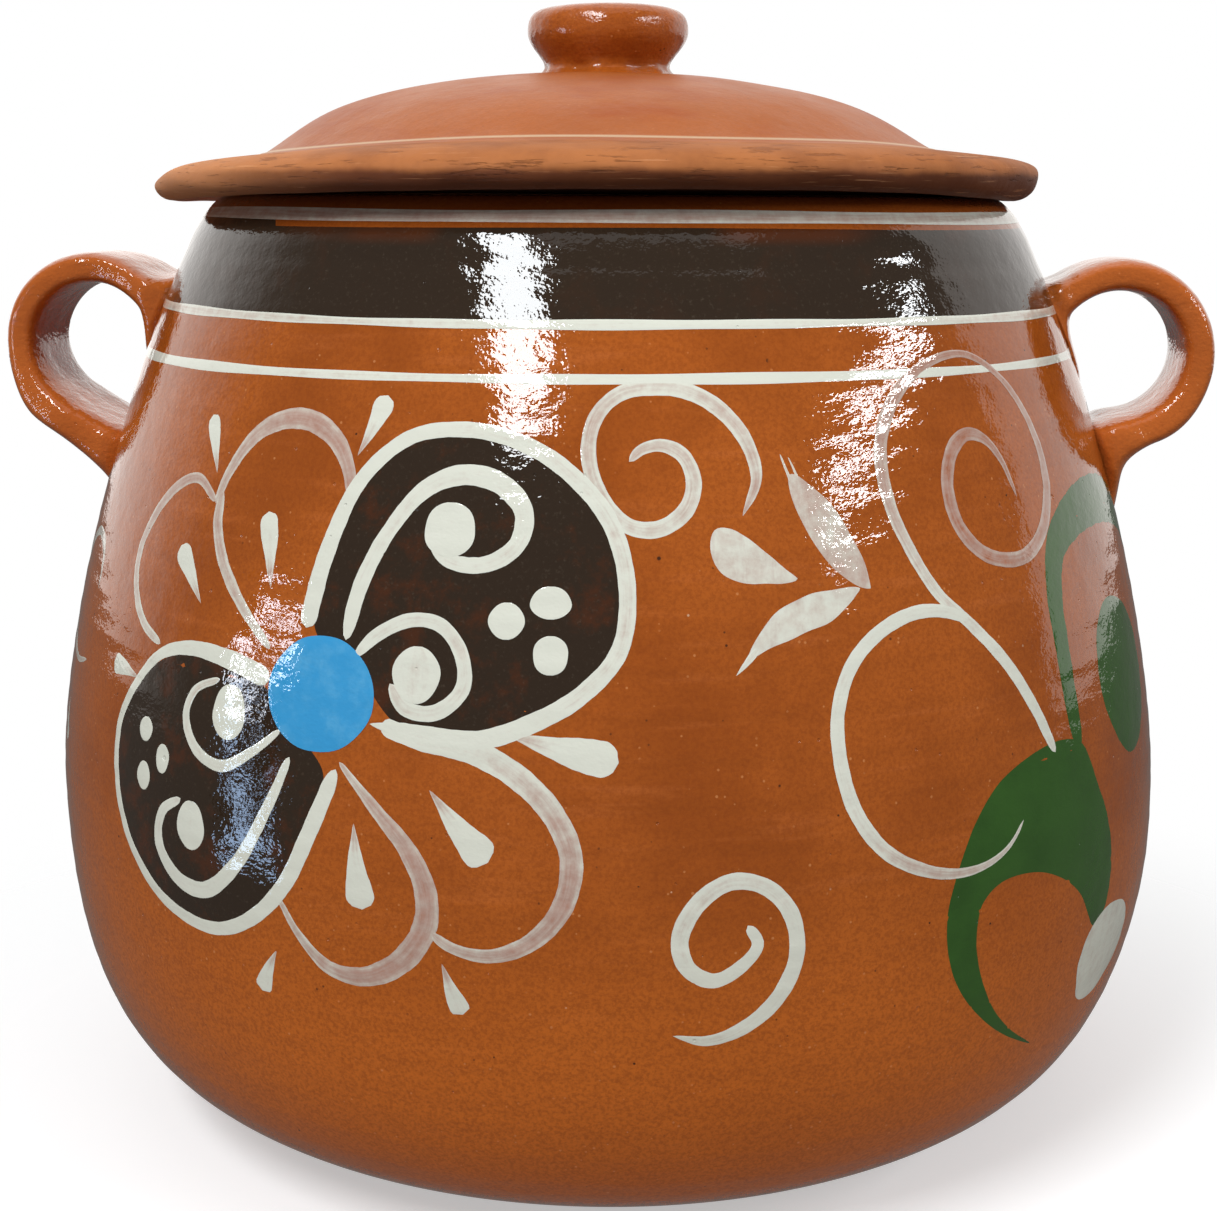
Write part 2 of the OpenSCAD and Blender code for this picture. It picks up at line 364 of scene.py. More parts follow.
def clay_colour(s):
    """Orange earthenware seen through the glaze: clouds, throwing streaks and specks."""
    clouds = s.step(s.noise(38, 4, 0.6, seed=1.3), 0.36, 0.68)
    tint = s.blend(clouds, CLAY, CLAY_DEEP)
    streaks = s.step(s.noise(9, 4, 0.6, stretch=(3.5, 3.5, 0.35), seed=4.1), 0.52, 0.74)
    tint = s.blend(s.times(streaks, 0.35), tint, CLAY_WARM)
    # Painted light: the lower body is lifted towards a brighter clay, making up for the light that
    # falls off towards the foot
    low = s.times(s.step(s.height(), 105, 45), 0.75)
    tint = s.blend(low, tint, CLAY_LIT_LOW)
    grain = s.step(s.noise(0.8, 3, 0.75, seed=2.2), 0.38, 0.66)
    tint = s.blend(s.times(grain, 0.5), tint, CLAY_GRAIN)
    here = s.step(s.noise(4.5, 2, 0.6, seed=11.3), 0.50, 0.60)
    sand = s.times(s.times(s.spots(1.5, 0.36, seed=6.9), here), 0.45)
    tint = s.blend(sand, tint, SAND)
    patchy = s.step(s.noise(30, 3, 0.6, seed=8.3), 0.42, 0.62)
    flecks = s.math("MAXIMUM", s.spots(2.6, 0.34, seed=7.7), s.spots(12, 0.6, seed=1.6))
    flecks = s.times(flecks, s.math("MULTIPLY_ADD", patchy, 0.4, 0.6))
    elsewhere = s.step(s.noise(3.5, 2, 0.6, seed=14.1), 0.44, 0.54)
    tint = s.blend(s.times(flecks, elsewhere), tint, SOOT)
    chalk = s.math("MAXIMUM", s.times(s.spots(4.6, 0.32, seed=3.9), here), s.spots(23, 0.6, seed=9.6))
    return s.blend(s.times(chalk, 0.65), tint, CHALK)


def glaze(s, ripple=0.05, low=0.012, high=0.05):
    """Clear glaze: fine ripple, grit and pinholes under an uneven gloss."""
    cloud = s.noise(14, 4, 0.6, seed=5.5)
    inputs = {"Value": cloud, "From Min": 0.35, "From Max": 0.7, "To Min": low, "To Max": high}
    s.gloss(s.node("ShaderNodeMapRange", inputs).outputs["Result"], GLAZE_SHINE)
    holes = s.math("MAXIMUM", s.spots(3.4, 0.36, seed=8.8), s.spots(10.0, 0.75, seed=2.9))
    s.relief(
        (s.noise(7.5, 2, 0.5, seed=9.1), ripple * 4.4),
        (s.noise(1.7, 2, 0.6, stretch=(1.3, 1.3, 0.8), seed=6.4), ripple * 1.5),
        (s.noise(0.7, 1, 0.5, seed=3.7), ripple * 0.6),
        (s.times(holes, -1.0), 0.12),
    )


def glazed_clay(name, ripple=0.05, foot=False, low=0.012, high=0.05, painted_lift=0.0):
    s = Shader(name)
    # Painted light: a share of brighter clay stands for stronger light falling on the piece
    tint = s.blend(painted_lift, clay_colour(s), CLAY_PAINTED_LIT)
    if foot:
        ragged = s.times(s.noise(22, 3, seed=2.0), 5.0)
        bare = s.step(s.math("ADD", s.height(), ragged), 4.2, 3.0)
        tint = s.blend(bare, tint, BARE)
        # Painted shade: the clay darkens towards the lip, where the lid's flange shades it
        lid_shade = s.step(s.height(), LIP_Z - 9, LIP_Z - 3)
        tint = s.blend(s.times(lid_shade, 0.35), tint, LID_SHADE_PAINTED)
    s.colour(tint)
    glaze(s, ripple, low, high)
    return s.material


def slip_opacity(s):
    """How well the slip hides the clay: streaked along the stroke, fuller at its edges."""
    across = s.attribute("across")
    along = s.attribute("along")
    where = s.node("ShaderNodeCombineXYZ",
                   {0: s.times(across, 3.2), 1: s.times(along, 0.09)})
    streak = s.noise(1, 4, 0.65, where=where.outputs[0], seed=1.1)
    mottle = s.noise(2.4, 4, 0.65, seed=6.6)
    rim = s.step(s.math("ABSOLUTE", across), 0.35, 0.85)
    hidden = s.math("ADD", s.attribute("load"), s.times(rim, 0.14))
    hidden = s.math("ADD", hidden, s.math("MULTIPLY_ADD", streak, 0.5, -0.25))
    return s.math("ADD", hidden, s.math("MULTIPLY_ADD", mottle, 0.55, -0.27))


def slip(name, colour, thin):
    """Painted slip that lets the clay show through where the brush ran dry."""
    s = Shader(name)
    hidden = slip_opacity(s)
    clay = clay_colour(s)
    veil = s.blend(s.step(hidden, 0.05, 0.45), clay, thin)
    tint = s.blend(s.step(hidden, 0.35, 0.95), veil, colour)
    pits = s.spots(7.0, 0.3, seed=12.4)
    s.colour(s.blend(s.times(pits, 0.7), tint, SOOT))
    glaze(s)
    return s.material


def dark_slip(name):
    """Brown-black slip, with red clay showing through in brushed patches."""
    s = Shader(name)
    thin = s.step(s.noise(11, 5, 0.7, seed=3.3), 0.5, 0.66)
    rubbed = s.times(s.step(s.height(), 211.0, 214.0), s.step(s.noise(40, 2, seed=6.2), 0.45, 0.6))
    thin = s.math("MAXIMUM", s.times(thin, s.attribute("load")), s.times(rubbed, 0.7))
    tint = s.blend(thin, BLACK, BLACK_RED)
    dust = s.step(s.noise(0.8, 2, 0.7, seed=8.1), 0.55, 0.8)
    tint = s.blend(s.times(dust, 0.3), tint, DUST)
    chalk = s.spots(7.5, 0.26, seed=5.2)
    s.colour(s.blend(chalk, tint, ASH))
    glaze(s)
    return s.material


def even_slip(name, colour, second, size, share):
    """Slip in one colour, clouded with a share of a second."""
    s = Shader(name)
    cloud = s.step(s.noise(size, 4, 0.6, seed=2.7), 0.4, 0.7)
    tint = s.blend(s.times(cloud, share), colour, second)
    s.colour(s.blend(s.times(s.spots(6.5, 0.24, seed=4.8), 0.5), tint, WHITE))
    glaze(s)
    return s.material


def bare_clay(name):
    """Unglazed clay with fine scratches, chalky dust and fire marks."""
    s = Shader(name)
    clouds = s.step(s.noise(16, 5, 0.62, seed=1.9), 0.35, 0.7)
    tint = s.blend(clouds, BARE, BARE_DARK)
    scratch = s.step(s.noise(5, 4, 0.7, stretch=(4, 4, 0.12), seed=3.4), 0.55, 0.7)
    tint = s.blend(s.times(scratch, 0.4), tint, SCRATCHED)
    s.colour(s.blend(s.times(s.spots(6, 0.4, seed=2.2), 0.7), tint, SOOT))
    s.gloss(0.62)
    s.relief((s.noise(1.2, 4, 0.65, seed=6.1), 0.12), (scratch, 0.08))
    return s.material


# Pot


def make_pot():
    inner_r = SHOULDER_R - WALL * 1.1
    inside = chain(
        np.array([(0, FLOOR_T), (30, FLOOR_T - 0.4), (FOOT_R - WALL * 0.6, FLOOR_T)]),
        bezier([
            (FOOT_R - WALL * 0.6, FLOOR_T),
            (mix(FOOT_R, BELLY_R, 0.66) - WALL, FLOOR_T + BELLY_Z * 0.03),
            (BELLY_R - WALL, BELLY_Z * 0.32),
            (BELLY_R - WALL, BELLY_Z),
        ], 30),
        bezier([
            (BELLY_R - WALL, BELLY_Z),
            (BELLY_R - WALL, mix(BELLY_Z, SHOULDER_Z, 0.27)),
            (mix(SHOULDER_R, BELLY_R, 0.455) - WALL * 1.1, mix(SHOULDER_Z, BELLY_Z, 0.26)),
            (inner_r, SHOULDER_Z - 6),
        ], 40),
        bezier([
            (inner_r, SHOULDER_Z - 6),
            (inner_r - 1, SHOULDER_Z - 1),
            (MOUTH_R, SHOULDER_Z),
            (MOUTH_R, LIP_Z - 5),
        ], 12),
    )
    rim = np.array([
        (LIP_MID_R, LIP_Z), (MOUTH_R + 1.6, LIP_Z - 0.1), (MOUTH_R + 0.5, LIP_Z - 0.9),
        (MOUTH_R, LIP_Z - 2.2), (MOUTH_R, LIP_Z - 5),
    ])
    base = np.array([(0, 0.6), (FOOT_R * 0.5, 0.5), (FOOT_R - 8, 0.35), (FOOT_R - 4, 0.0),
                     (FOOT_R, 0)])
    outline = chain(base, outside, rim, inside[::-1])

    def shift(turn, r, z):
        hand = thrown(turn, z)
        inner = np.arange(len(r))[:, None] >= len(base) + len(outside) + len(rim) - 3
        groove = 0.35 * np.sin(z * 0.62 + turn) * ease(10, 30, z) - 0.3
        return np.where(inner, groove * ease(0, 40, r), hand * ease(40, 72, r)), 0 * r

    return revolve("pot_wall", outline, 400, shift)


# Painting


class Paint:
    """Strokes and patches of slip of one colour, gathered into one mesh on the wall."""

    ACROSS = np.array([-1, -0.82, -0.45, 0, 0.45, 0.82, 1])
    CROWN = np.array([0.3, 0.8, 1, 1, 1, 0.8, 0.3])
    GRID = 2.0      # spacing of the points inside a patch

    def __init__(self, seed):
        self.points = []
        self.faces = []
        self.marks = {"across": [], "along": [], "load": []}
        self.count = 0
        self.random = np.random.default_rng(seed)

    def add(self, points, faces, across, along, load):
        self.points.append(points)
        self.faces += [tuple(i + self.count for i in f) for f in faces]
        self.count += len(points)
        for key, values in zip(self.marks, (across, along, load)):
            self.marks[key].append(values)

    def sweep(self, degrees, z, half, lift, base, load, closed=False):
        """Ribbon along a dense path of wall places, half its width to each side."""
        scale = np.radians(1) * pot_r(z)
        dx = np.gradient(degrees) * scale
        dz = np.gradient(z) / np.cos(lean(z))
        length = np.hypot(dx, dz)
        dx, dz = dx / length, dz / length
        along = np.cumsum(length)
        a = self.ACROSS[None, :]
        side = half[:, None] * a
        d = degrees[:, None] - side * (dz / scale)[:, None]
        h = z[:, None] + side * (dx * np.cos(lean(z)))[:, None]
        rise = base + lift * self.CROWN[None, :] * np.minimum(1, half[:, None] / 0.7)
        points = on_wall(d, h, rise).reshape(-1, 3)
        n = len(self.ACROSS)
        faces = quads(len(z), n, closed=False)
        if closed:
            last = (len(z) - 1) * n
            faces += [(last + k, last + k + 1, k + 1, k) for k in range(n - 1)]
        self.add(points, faces, np.tile(self.ACROSS, len(z)), np.repeat(along, n), np.repeat(load, n))

    def stroke(self, places, widths, load=1.0, lift=0.035, base=0.0, ends=(0.4, 0.4)):
        """Brush stroke through a few places, its widths spread evenly along it. Ends gives
        how blunt each end is, from 0 for a hair to 1 for a round dab."""
        degrees, z, share = spline(places)
        wide = np.interp(share, np.linspace(0, 1, len(widths)), widths) / 2
        smooth = np.convolve(np.pad(wide, 4, mode="edge"), np.ones(9) / 9, "valid")
        length = path_length(degrees, z)
        from_start = share * length
        for distance, blunt in ((from_start, ends[0]), (length - from_start, ends[1])):
            reach = np.maximum(0.3, smooth * mix(5.0, 1.0, blunt))
            t = np.clip(distance / reach, 0, 1)
            smooth = smooth * np.maximum(0.03, np.sqrt(1 - (1 - t) ** 2) if blunt > 0.3 else t ** 0.7)
        phase = self.random.uniform(0, 6.28, 3)
        wave = np.sin(from_start * 0.9 + phase[0]) + 0.6 * np.sin(from_start * 2.3 + phase[1])
        half = smooth * (1 + 0.02 * wave) * 1.05
        loads = np.interp(share, np.linspace(0, 1, len(load)),
                          load) if np.ndim(load) else load + 0 * z
        self.sweep(degrees, z, half, lift, base, loads)

    def drop(self, head, tip, width, load=1.0):
        """Dab of a loaded brush: round at the head, drawn out to a point at the tip."""
        (d0, z0), (d1, z1) = head, tip
        k = np.radians(1) * float(pot_r((z0 + z1) / 2))
        sideways = np.array([-(z1 - z0), (d1 - d0) * k])
        sideways = sideways / np.linalg.norm(sideways) * 0.25
        middle = (mix(d0, d1, 0.45) + sideways[0] / k, mix(z0, z1, 0.45) + sideways[1])
        widths = [width * w for w in (0.86, 1.0, 0.92, 0.74, 0.5, 0.3, 0.14)]
        fade = [load, load, load, load - 0.15, load - 0.4, load - 0.5]
        self.stroke([head, middle, tip], widths, fade, 0.045, ends=(1.0, 0.0))

    def dab(self, place, wide, high, load=1.0, base=0.0):
        """Round or oval dab."""
        share = np.linspace(0, 1, 41)
        s = 1.97 * (share - 0.5)
        z = place[1] + s * high / 2
        half = wide / 2 * np.sqrt(np.maximum(0.002, 1 - s ** 2))
        wobble = 1 + 0.04 * np.sin(7 * share + self.random.uniform(0, 6))
        self.sweep(place[0] + 0 * z, z, half * wobble, 0.05, base, load + 0 * z)

    def patch(self, outline, lift=0.02, base=0.0, load=1.0):
        """Filled shape inside a closed outline of places, its edge feathered down."""
        degrees, z, share = spline(outline, closed=True)
        k = np.radians(1) * float(pot_r(np.mean(z)))
        edge = np.stack([degrees * k, z], 1)
        turn = 2 * math.pi * share[:, None]
        edge += 0.08 * np.sin(turn * np.array([5, 7]) + self.random.uniform(0, 6))
        low, high = edge.min(0), edge.max(0)
        gx, gz = np.meshgrid(np.arange(low[0], high[0], self.GRID),
                             np.arange(low[1], high[1], self.GRID))
        cells = np.stack([gx.ravel(), gz.ravel()], 1)
        step = np.roll(edge, -1, 0) - np.roll(edge, 1, 0)
        normal = np.stack([-step[:, 1], step[:, 0]], 1) / np.linalg.norm(step, axis=1)[:, None]
        area = np.sum(edge[:, 0] * np.roll(edge[:, 1], -1) - edge[:, 1] * np.roll(edge[:, 0], -1))
        normal = normal * (1 if area > 0 else -1)
        candidates = np.vstack([edge + normal * 0.45, edge + normal * 1.1, cells])
        reach = np.array([0.40, 0.95, 1.7])
        need = np.repeat(reach, [len(edge), len(edge), len(cells)])
        gap = distance_to(candidates, edge)
        keep = candidates[(gap > need) & inside_of(candidates, edge)]
        corners = [tuple(p) for p in np.vstack([edge, keep])]
        rim = [(i, (i + 1) % len(edge)) for i in range(len(edge))]
        points, _, faces = delaunay_2d_cdt(corners, rim, [], 1, 1e-5)[:3]
        points = np.array([tuple(p) for p in points])
        depth = distance_to(points, edge)
        rise = base + lift * mix(0.3, 1, ease(0, 0.9, depth))
        solid = on_wall(points[:, 0] / k, points[:, 1], rise)
        across = 0.3 * np.sin(points[:, 0] / 2)
        self.add(solid, [tuple(f) for f in faces], across, points[:, 1], load + 0 * depth)

    def build(self, name, slot, material):
        marks = {key: np.concatenate(values) for key, values in self.marks.items()}
        piece = make_object(name, np.vstack(self.points), self.faces, marks)
        finish_piece(piece, "olla", slot, material)


def path_length(degrees, z):
    k = np.radians(1) * pot_r(z)
    return float(np.sum(np.hypot(np.diff(degrees) * k[1:], np.diff(z) / np.cos(lean(z[1:])))))


PATH_STEP = 0.7         # between the points of a painted path


def spline(places, closed=False):
    """Smooth path through places on the wall, at even steps along it. Returns degrees,
    heights and the share of the way."""
    p = np.array(places, float)
    k = np.radians(1) * float(pot_r(np.mean(p[:, 1])))
    p = p * [k, 1]
    if closed:
        p = np.vstack([p[-1], p, p[0], p[1]])
    else:
        p = np.vstack([2 * p[0] - p[1], p, 2 * p[-1] - p[-2]])
    knots = np.concatenate([[0], np.cumsum(np.linalg.norm(np.diff(p, axis=0), axis=1) ** 0.5)])
    out = []
    for i in range(1, len(p) - 2):
        t = np.linspace(knots[i], knots[i + 1], 24, endpoint=False)[:, None]
        t0, t1, t2, t3 = knots[i - 1:i + 3]
        a1 = (t1 - t) / (t1 - t0) * p[i - 1] + (t - t0) / (t1 - t0) * p[i]
        a2 = (t2 - t) / (t2 - t1) * p[i] + (t - t1) / (t2 - t1) * p[i + 1]
        a3 = (t3 - t) / (t3 - t2) * p[i + 1] + (t - t2) / (t3 - t2) * p[i + 2]
        b1 = (t2 - t) / (t2 - t0) * a1 + (t - t0) / (t2 - t0) * a2
        b2 = (t3 - t) / (t3 - t1) * a2 + (t - t1) / (t3 - t1) * a3
        out.append((t2 - t) / (t2 - t1) * b1 + (t - t1) / (t2 - t1) * b2)
    dense = np.vstack(out + [p[-2:-1]])
    run = np.concatenate([[0], np.cumsum(np.linalg.norm(np.diff(dense, axis=0), axis=1))])
    count = max(12, int(run[-1] / PATH_STEP))
    share = np.linspace(0, 1, count + 1)
    if closed:
        share = share[:-1]
    x = np.interp(share * run[-1], run, dense[:, 0])
    z = np.interp(share * run[-1], run, dense[:, 1])
    return x / k, z, share


def distance_to(points, edge):
    """Shortest distance from each point to a closed polyline."""
    a, b = edge, np.roll(edge, -1, 0)
    best = np.full(len(points), 1e9)
    for i in range(len(a)):
        ab = b[i] - a[i]
        t = np.clip(((points - a[i]) @ ab) / max(1e-12, ab @ ab), 0, 1)
        best = np.minimum(best, np.linalg.norm(points - a[i] - t[:, None] * ab, axis=1))
    return best


def inside_of(points, edge):
    """Whether each point is inside a closed polyline."""
    inside = np.zeros(len(points), bool)
    for a, b in zip(edge, np.roll(edge, -1, 0)):
        if a[1] == b[1]:
            continue
        crosses = (a[1] > points[:, 1]) != (b[1] > points[:, 1])
        at = a[0] + (points[:, 1] - a[1]) * (b[0] - a[0]) / (b[1] - a[1])
        inside ^= crosses & (points[:, 0] < at)
    return inside


def turned(places, turn):
    return [(d + turn, z) for d, z in places]


# Heights of the painted lines and of the dark band
LOWER_LINE_Z = 186.0
UPPER_LINE_Z = 196.3
RIM_LINE_Z = 217.2
BAND_LOW = 197.0
BAND_HIGH = 214.8


def paint_rings(white, black):
    """Lines and the wide dark band round the shoulder."""
    degrees = np.linspace(0, 360, 720, endpoint=False)
    t = np.radians(degrees)
    lower_z = LOWER_LINE_Z + 0.35 * np.sin(t + 0.4) + 0.2 * np.sin(3 * t + 1)
    lower_half = 1.0 + 0.14 * np.sin(5 * t) + 0.08 * np.sin(17 * t + 2)
    lower_load = 0.93 + 0.1 * np.sin(4 * t)
    white.sweep(degrees, lower_z, lower_half, 0.04, 0.0, lower_load, closed=True)
    upper_z = UPPER_LINE_Z + 0.3 * np.sin(t + 1.9) + 0.15 * np.sin(4 * t)
    upper_half = 0.95 + 0.12 * np.sin(6 * t + 1) + 0.08 * np.sin(19 * t)
    upper_load = 0.80 + 0.12 * np.sin(3 * t + 1)
    white.sweep(degrees, upper_z, upper_half, 0.04, 0.03, upper_load, closed=True)
    rim_z = RIM_LINE_Z + 0.3 * np.sin(t + 2.6) + 0.12 * np.sin(5 * t)
    rim_half = 1.55 + 0.12 * np.sin(7 * t)
    rim_load = 0.62 + 0.16 * np.sin(t - 0.7)
    white.sweep(degrees, rim_z, rim_half, 0.03, 0.03, rim_load, closed=True)
    low = BAND_LOW + 0.15 * np.sin(7 * t)
    high = BAND_HIGH + 0.3 * np.sin(t + 2.2) + 0.2 * np.sin(4 * t + 0.7)
    round_front = (degrees + 180) % 360 - 180
    high = high + 1.9 * ease(-40.5, -41.5, round_front) * ease(-75, -66, round_front)
    rows = np.linspace(0, 1, 25)
    z = low[:, None] + (high - low)[:, None] * rows[None, :]
    edge = np.minimum(rows, 1 - rows)[None, :] * (high - low)[:, None]
    rise = 0.02 * mix(0.3, 1, ease(0, 0.8, edge))
    points = on_wall(degrees[:, None] + 0 * z, z, rise).reshape(-1, 3)
    faces = quads(len(degrees), len(rows), closed=False)
    last = (len(degrees) - 1) * len(rows)
    faces += [(last + k, last + k + 1, k + 1, k) for k in range(len(rows) - 1)]
    marks = np.tile(2 * rows - 1, len(degrees))
    black.add(points, faces, marks, np.repeat(degrees, len(rows)), 0.08 + 0 * marks)


BIG_PETAL = [
    (-22.0, 137), (-21.2, 151), (-19.2, 165), (-15, 173.5), (-9.5, 176), (-4.2, 174.5), (1.0, 169),
    (5.2, 160), (6.7, 148), (6.0, 135), (2.6, 127), (-3.4, 120.5), (-9, 117.5), (-13.5, 121),
    (-17.2, 129.5),
]
SMALL_PETAL = [
    (-25, 122), (-30.5, 127.5), (-37.5, 128), (-43.4, 122), (-47, 110), (-46.4, 94), (-42.3, 80.5),
    (-36, 73), (-30.5, 73), (-25, 82.5), (-21.3, 97), (-19.8, 109), (-22.5, 116),
]


def paint_flower(white, black, blue, turn):
    """Two dark petals and four open ones round a blue eye, with drops between them."""
    t = lambda *places: turned(places, turn)
    one = lambda d, z: (d + turn, z)
    black.patch(turned(BIG_PETAL, turn), base=0.01, load=0.45)
    black.patch(turned(SMALL_PETAL, turn), base=0.01, load=0.45)

    # Outlines of the dark petals
    white.stroke(t(
        (-23, 137), (-21.8, 152), (-19.2, 166), (-14.6, 174.5), (-9.3, 176.5), (-4.2, 175),
        (0.8, 170), (5.2, 160.5), (6.9, 149), (6.3, 136), (3, 127.5), (-1.2, 122), (-5.5, 118.6),
        (-10, 118.8), (-15.6, 120)),
        [3.9, 3.7, 3.1, 2.9, 3.0, 3.1, 3.3, 3.2, 3.2, 3.4, 3.6, 3.4, 2.8],
        [1.0, 1.0, 0.9, 0.85, 0.8, 0.95, 0.95], base=0.03, ends=(0.9, 0.1))
    white.stroke(t(
        (-26.4, 126), (-31.4, 128.5), (-37, 129.2), (-41.5, 126.5), (-44.8, 120), (-47.5, 110),
        (-47.3, 98), (-44.6, 85.5), (-40, 76.5), (-35, 72.8), (-31, 73), (-27, 77.5), (-23.4, 86),
        (-20.8, 98), (-18.6, 110.5)),
        [4.0, 3.8, 3.0, 2.4, 2.2, 2.1, 2.1, 2.2, 2.4, 2.6, 2.8, 3.1, 3.4, 3.5, 3.0],
        [1.0, 0.9, 0.85, 0.9, 0.9, 1.0, 1.0], base=0.03, ends=(0.9, 0.5))

    # Scrolls and dots inside them
    white.stroke(t(
        (-18.7, 135.5), (-17.8, 146), (-15.6, 156.5), (-12.3, 165), (-8.6, 168), (-4.9, 166.5),
        (-2.6, 161.5), (-3.0, 155.5), (-5.6, 151.6), (-9.0, 151.6), (-11.2, 154.5)),
        [2.6, 3.3, 3.2, 3.0, 3.4, 4.0, 4.0, 3.6, 3.2, 3.0, 2.6],
        [1.0, 0.9, 0.85, 0.9, 0.9, 0.85, 0.9], base=0.035)
    white.dab(one(-9.5, 157.6), 10.6, 10.4, base=0.04)
    white.stroke(t(
        (-17.6, 132.6), (-15.6, 137), (-12.4, 140.3), (-9.6, 139.6), (-7.6, 134.5), (-7.3, 128),
        (-9.6, 123.2), (-12.4, 123.6), (-14.0, 128)),
        [2.2, 2.7, 2.7, 2.7, 2.8, 3.0, 3.0, 2.6], [0.9, 0.85, 0.8, 0.85, 0.7], base=0.035)
    white.dab(one(-11.6, 130.0), 9.8, 11.0, 0.86, base=0.04)
    for d, z, wide, high in ((-3.7, 141.0, 7.0, 7.0), (0.2, 144.6, 8.0, 6.2), (0.3, 134.8, 7.0, 7.4)):
        white.dab(one(d, z), wide, high, base=0.035)
    white.stroke(t(
        (-24.6, 116.6), (-27.8, 111), (-31.2, 107.2), (-34.6, 109.5), (-36.4, 115.4), (-35.6, 121),
        (-32.4, 124.4)),
        [1.2, 1.9, 2.4, 2.4, 2.2, 1.8, 1.3], [0.9, 0.85, 0.85, 0.7], base=0.035)
    white.dab(one(-30.8, 118.2), 9.2, 11.2, base=0.04)
    white.stroke(t(
        (-23.4, 111.6), (-25.4, 101), (-28.8, 88), (-33.0, 80.4), (-37.0, 81.6), (-39.4, 88),
        (-38.8, 94.6), (-36.2, 98.4)),
        [1.6, 2.4, 2.8, 3.2, 3.4, 3.2, 2.6, 1.8], [0.95, 0.9, 0.9, 0.85], base=0.035)
    white.dab(one(-34.7, 93.4), 8.6, 10.4, base=0.04)
    for d, z, wide, high in ((-42.4, 110.4, 5.0, 5.2), (-39.3, 105.4, 4.6, 6.2),
                             (-42.2, 100.6, 5.0, 6.2)):
        white.dab(one(d, z), wide, high, base=0.035)

    # Open petals, in thin slip
    white.stroke(t(
        (-37.2, 159), (-40.8, 163), (-44.4, 160.6), (-47.8, 153.6), (-49.4, 145.4), (-48.4, 137.6),
        (-45.6, 131.6), (-42, 128.4)),
        [1.6, 2.2, 2.5, 2.3, 2.2, 2.2, 1.8], [0.5, 0.45, 0.5, 0.62, 0.7])
    white.stroke(t(
        (-37.2, 158.6), (-35.9, 166), (-33.2, 173.2), (-29.6, 176.6), (-26, 176.6), (-22.8, 173.4),
        (-20.8, 168), (-20.0, 162)),
        [2.0, 2.6, 3.4, 4.2, 4.2, 3.2, 2.0], [0.6, 0.5, 0.42, 0.4, 0.45])
    white.stroke(t(
        (-36.6, 161.5), (-36.2, 154.5), (-34.4, 147.4), (-31, 139.6), (-26.8, 132)),
        [2.6, 2.8, 2.8, 2.2, 1.6], [0.55, 0.55, 0.6, 0.75])
    white.stroke(t(
        (-18.3, 112), (-14.6, 103.6), (-11.6, 96.4), (-10.0, 89), (-10.0, 81.5), (-12.2, 73.6),
        (-15.8, 69.2), (-19.2, 70), (-22.0, 75.6), (-24.2, 83)),
        [0.9, 2.2, 3.3, 4.2, 4.8, 4.8, 4.2, 3.0, 1.8, 1.1], [0.6, 0.5, 0.45, 0.4, 0.42, 0.55, 0.6])
    white.stroke(t(
        (-14.6, 120), (-10.8, 118), (-6.4, 116.4), (-2.6, 112.4), (0.6, 105.6), (2.3, 97),
        (1.7, 87.4), (-0.8, 80), (-4.4, 76.4), (-7.8, 77.6), (-10.2, 81.4)),
        [3.4, 4.4, 4.7, 4.6, 4.4, 4.3, 3.9, 3.2, 2.4, 1.6], [1.0, 0.9, 0.7, 0.5, 0.42, 0.5, 0.6],
        ends=(0.9, 0.2))

    # Drops
    for head, tip, width, load in (
        ((-41.0, 176.0), (-38.0, 164.6), 3.9, 1.0),
        ((-17.6, 182.4), (-20.0, 170.6), 4.7, 0.95),
        ((-29.5, 158.4), (-27.7, 143.6), 4.8, 0.95),
        ((-41.4, 149.0), (-36.6, 138.4), 5.2, 1.0),
        ((-50.6, 121.4), (-45.0, 120.2), 5.0, 1.0),
        ((-15.7, 83.4), (-16.6, 100.4), 7.0, 1.0),
        ((-4.6, 95.2), (-9.8, 108.4), 8.0, 1.0),
        ((6.2, 115.0), (-3.4, 120.0), 7.0, 1.0),
        ((-26.6, 61.6), (-24.6, 71.4), 5.2, 0.95),
        ((-6.9, 63.6), (-8.6, 74.0), 5.6, 0.9),
    ):
        white.drop(one(*head), one(*tip), width, load)

    # The eye, over everything
    round_eye = np.linspace(0, 2 * math.pi, 14)[:-1]
    rim = [(-20.9 + 5.5 * math.sin(a), 124.6 + 11.3 * math.cos(a)) for a in round_eye]
    blue.patch(turned(rim, turn), lift=0.05, base=0.05)


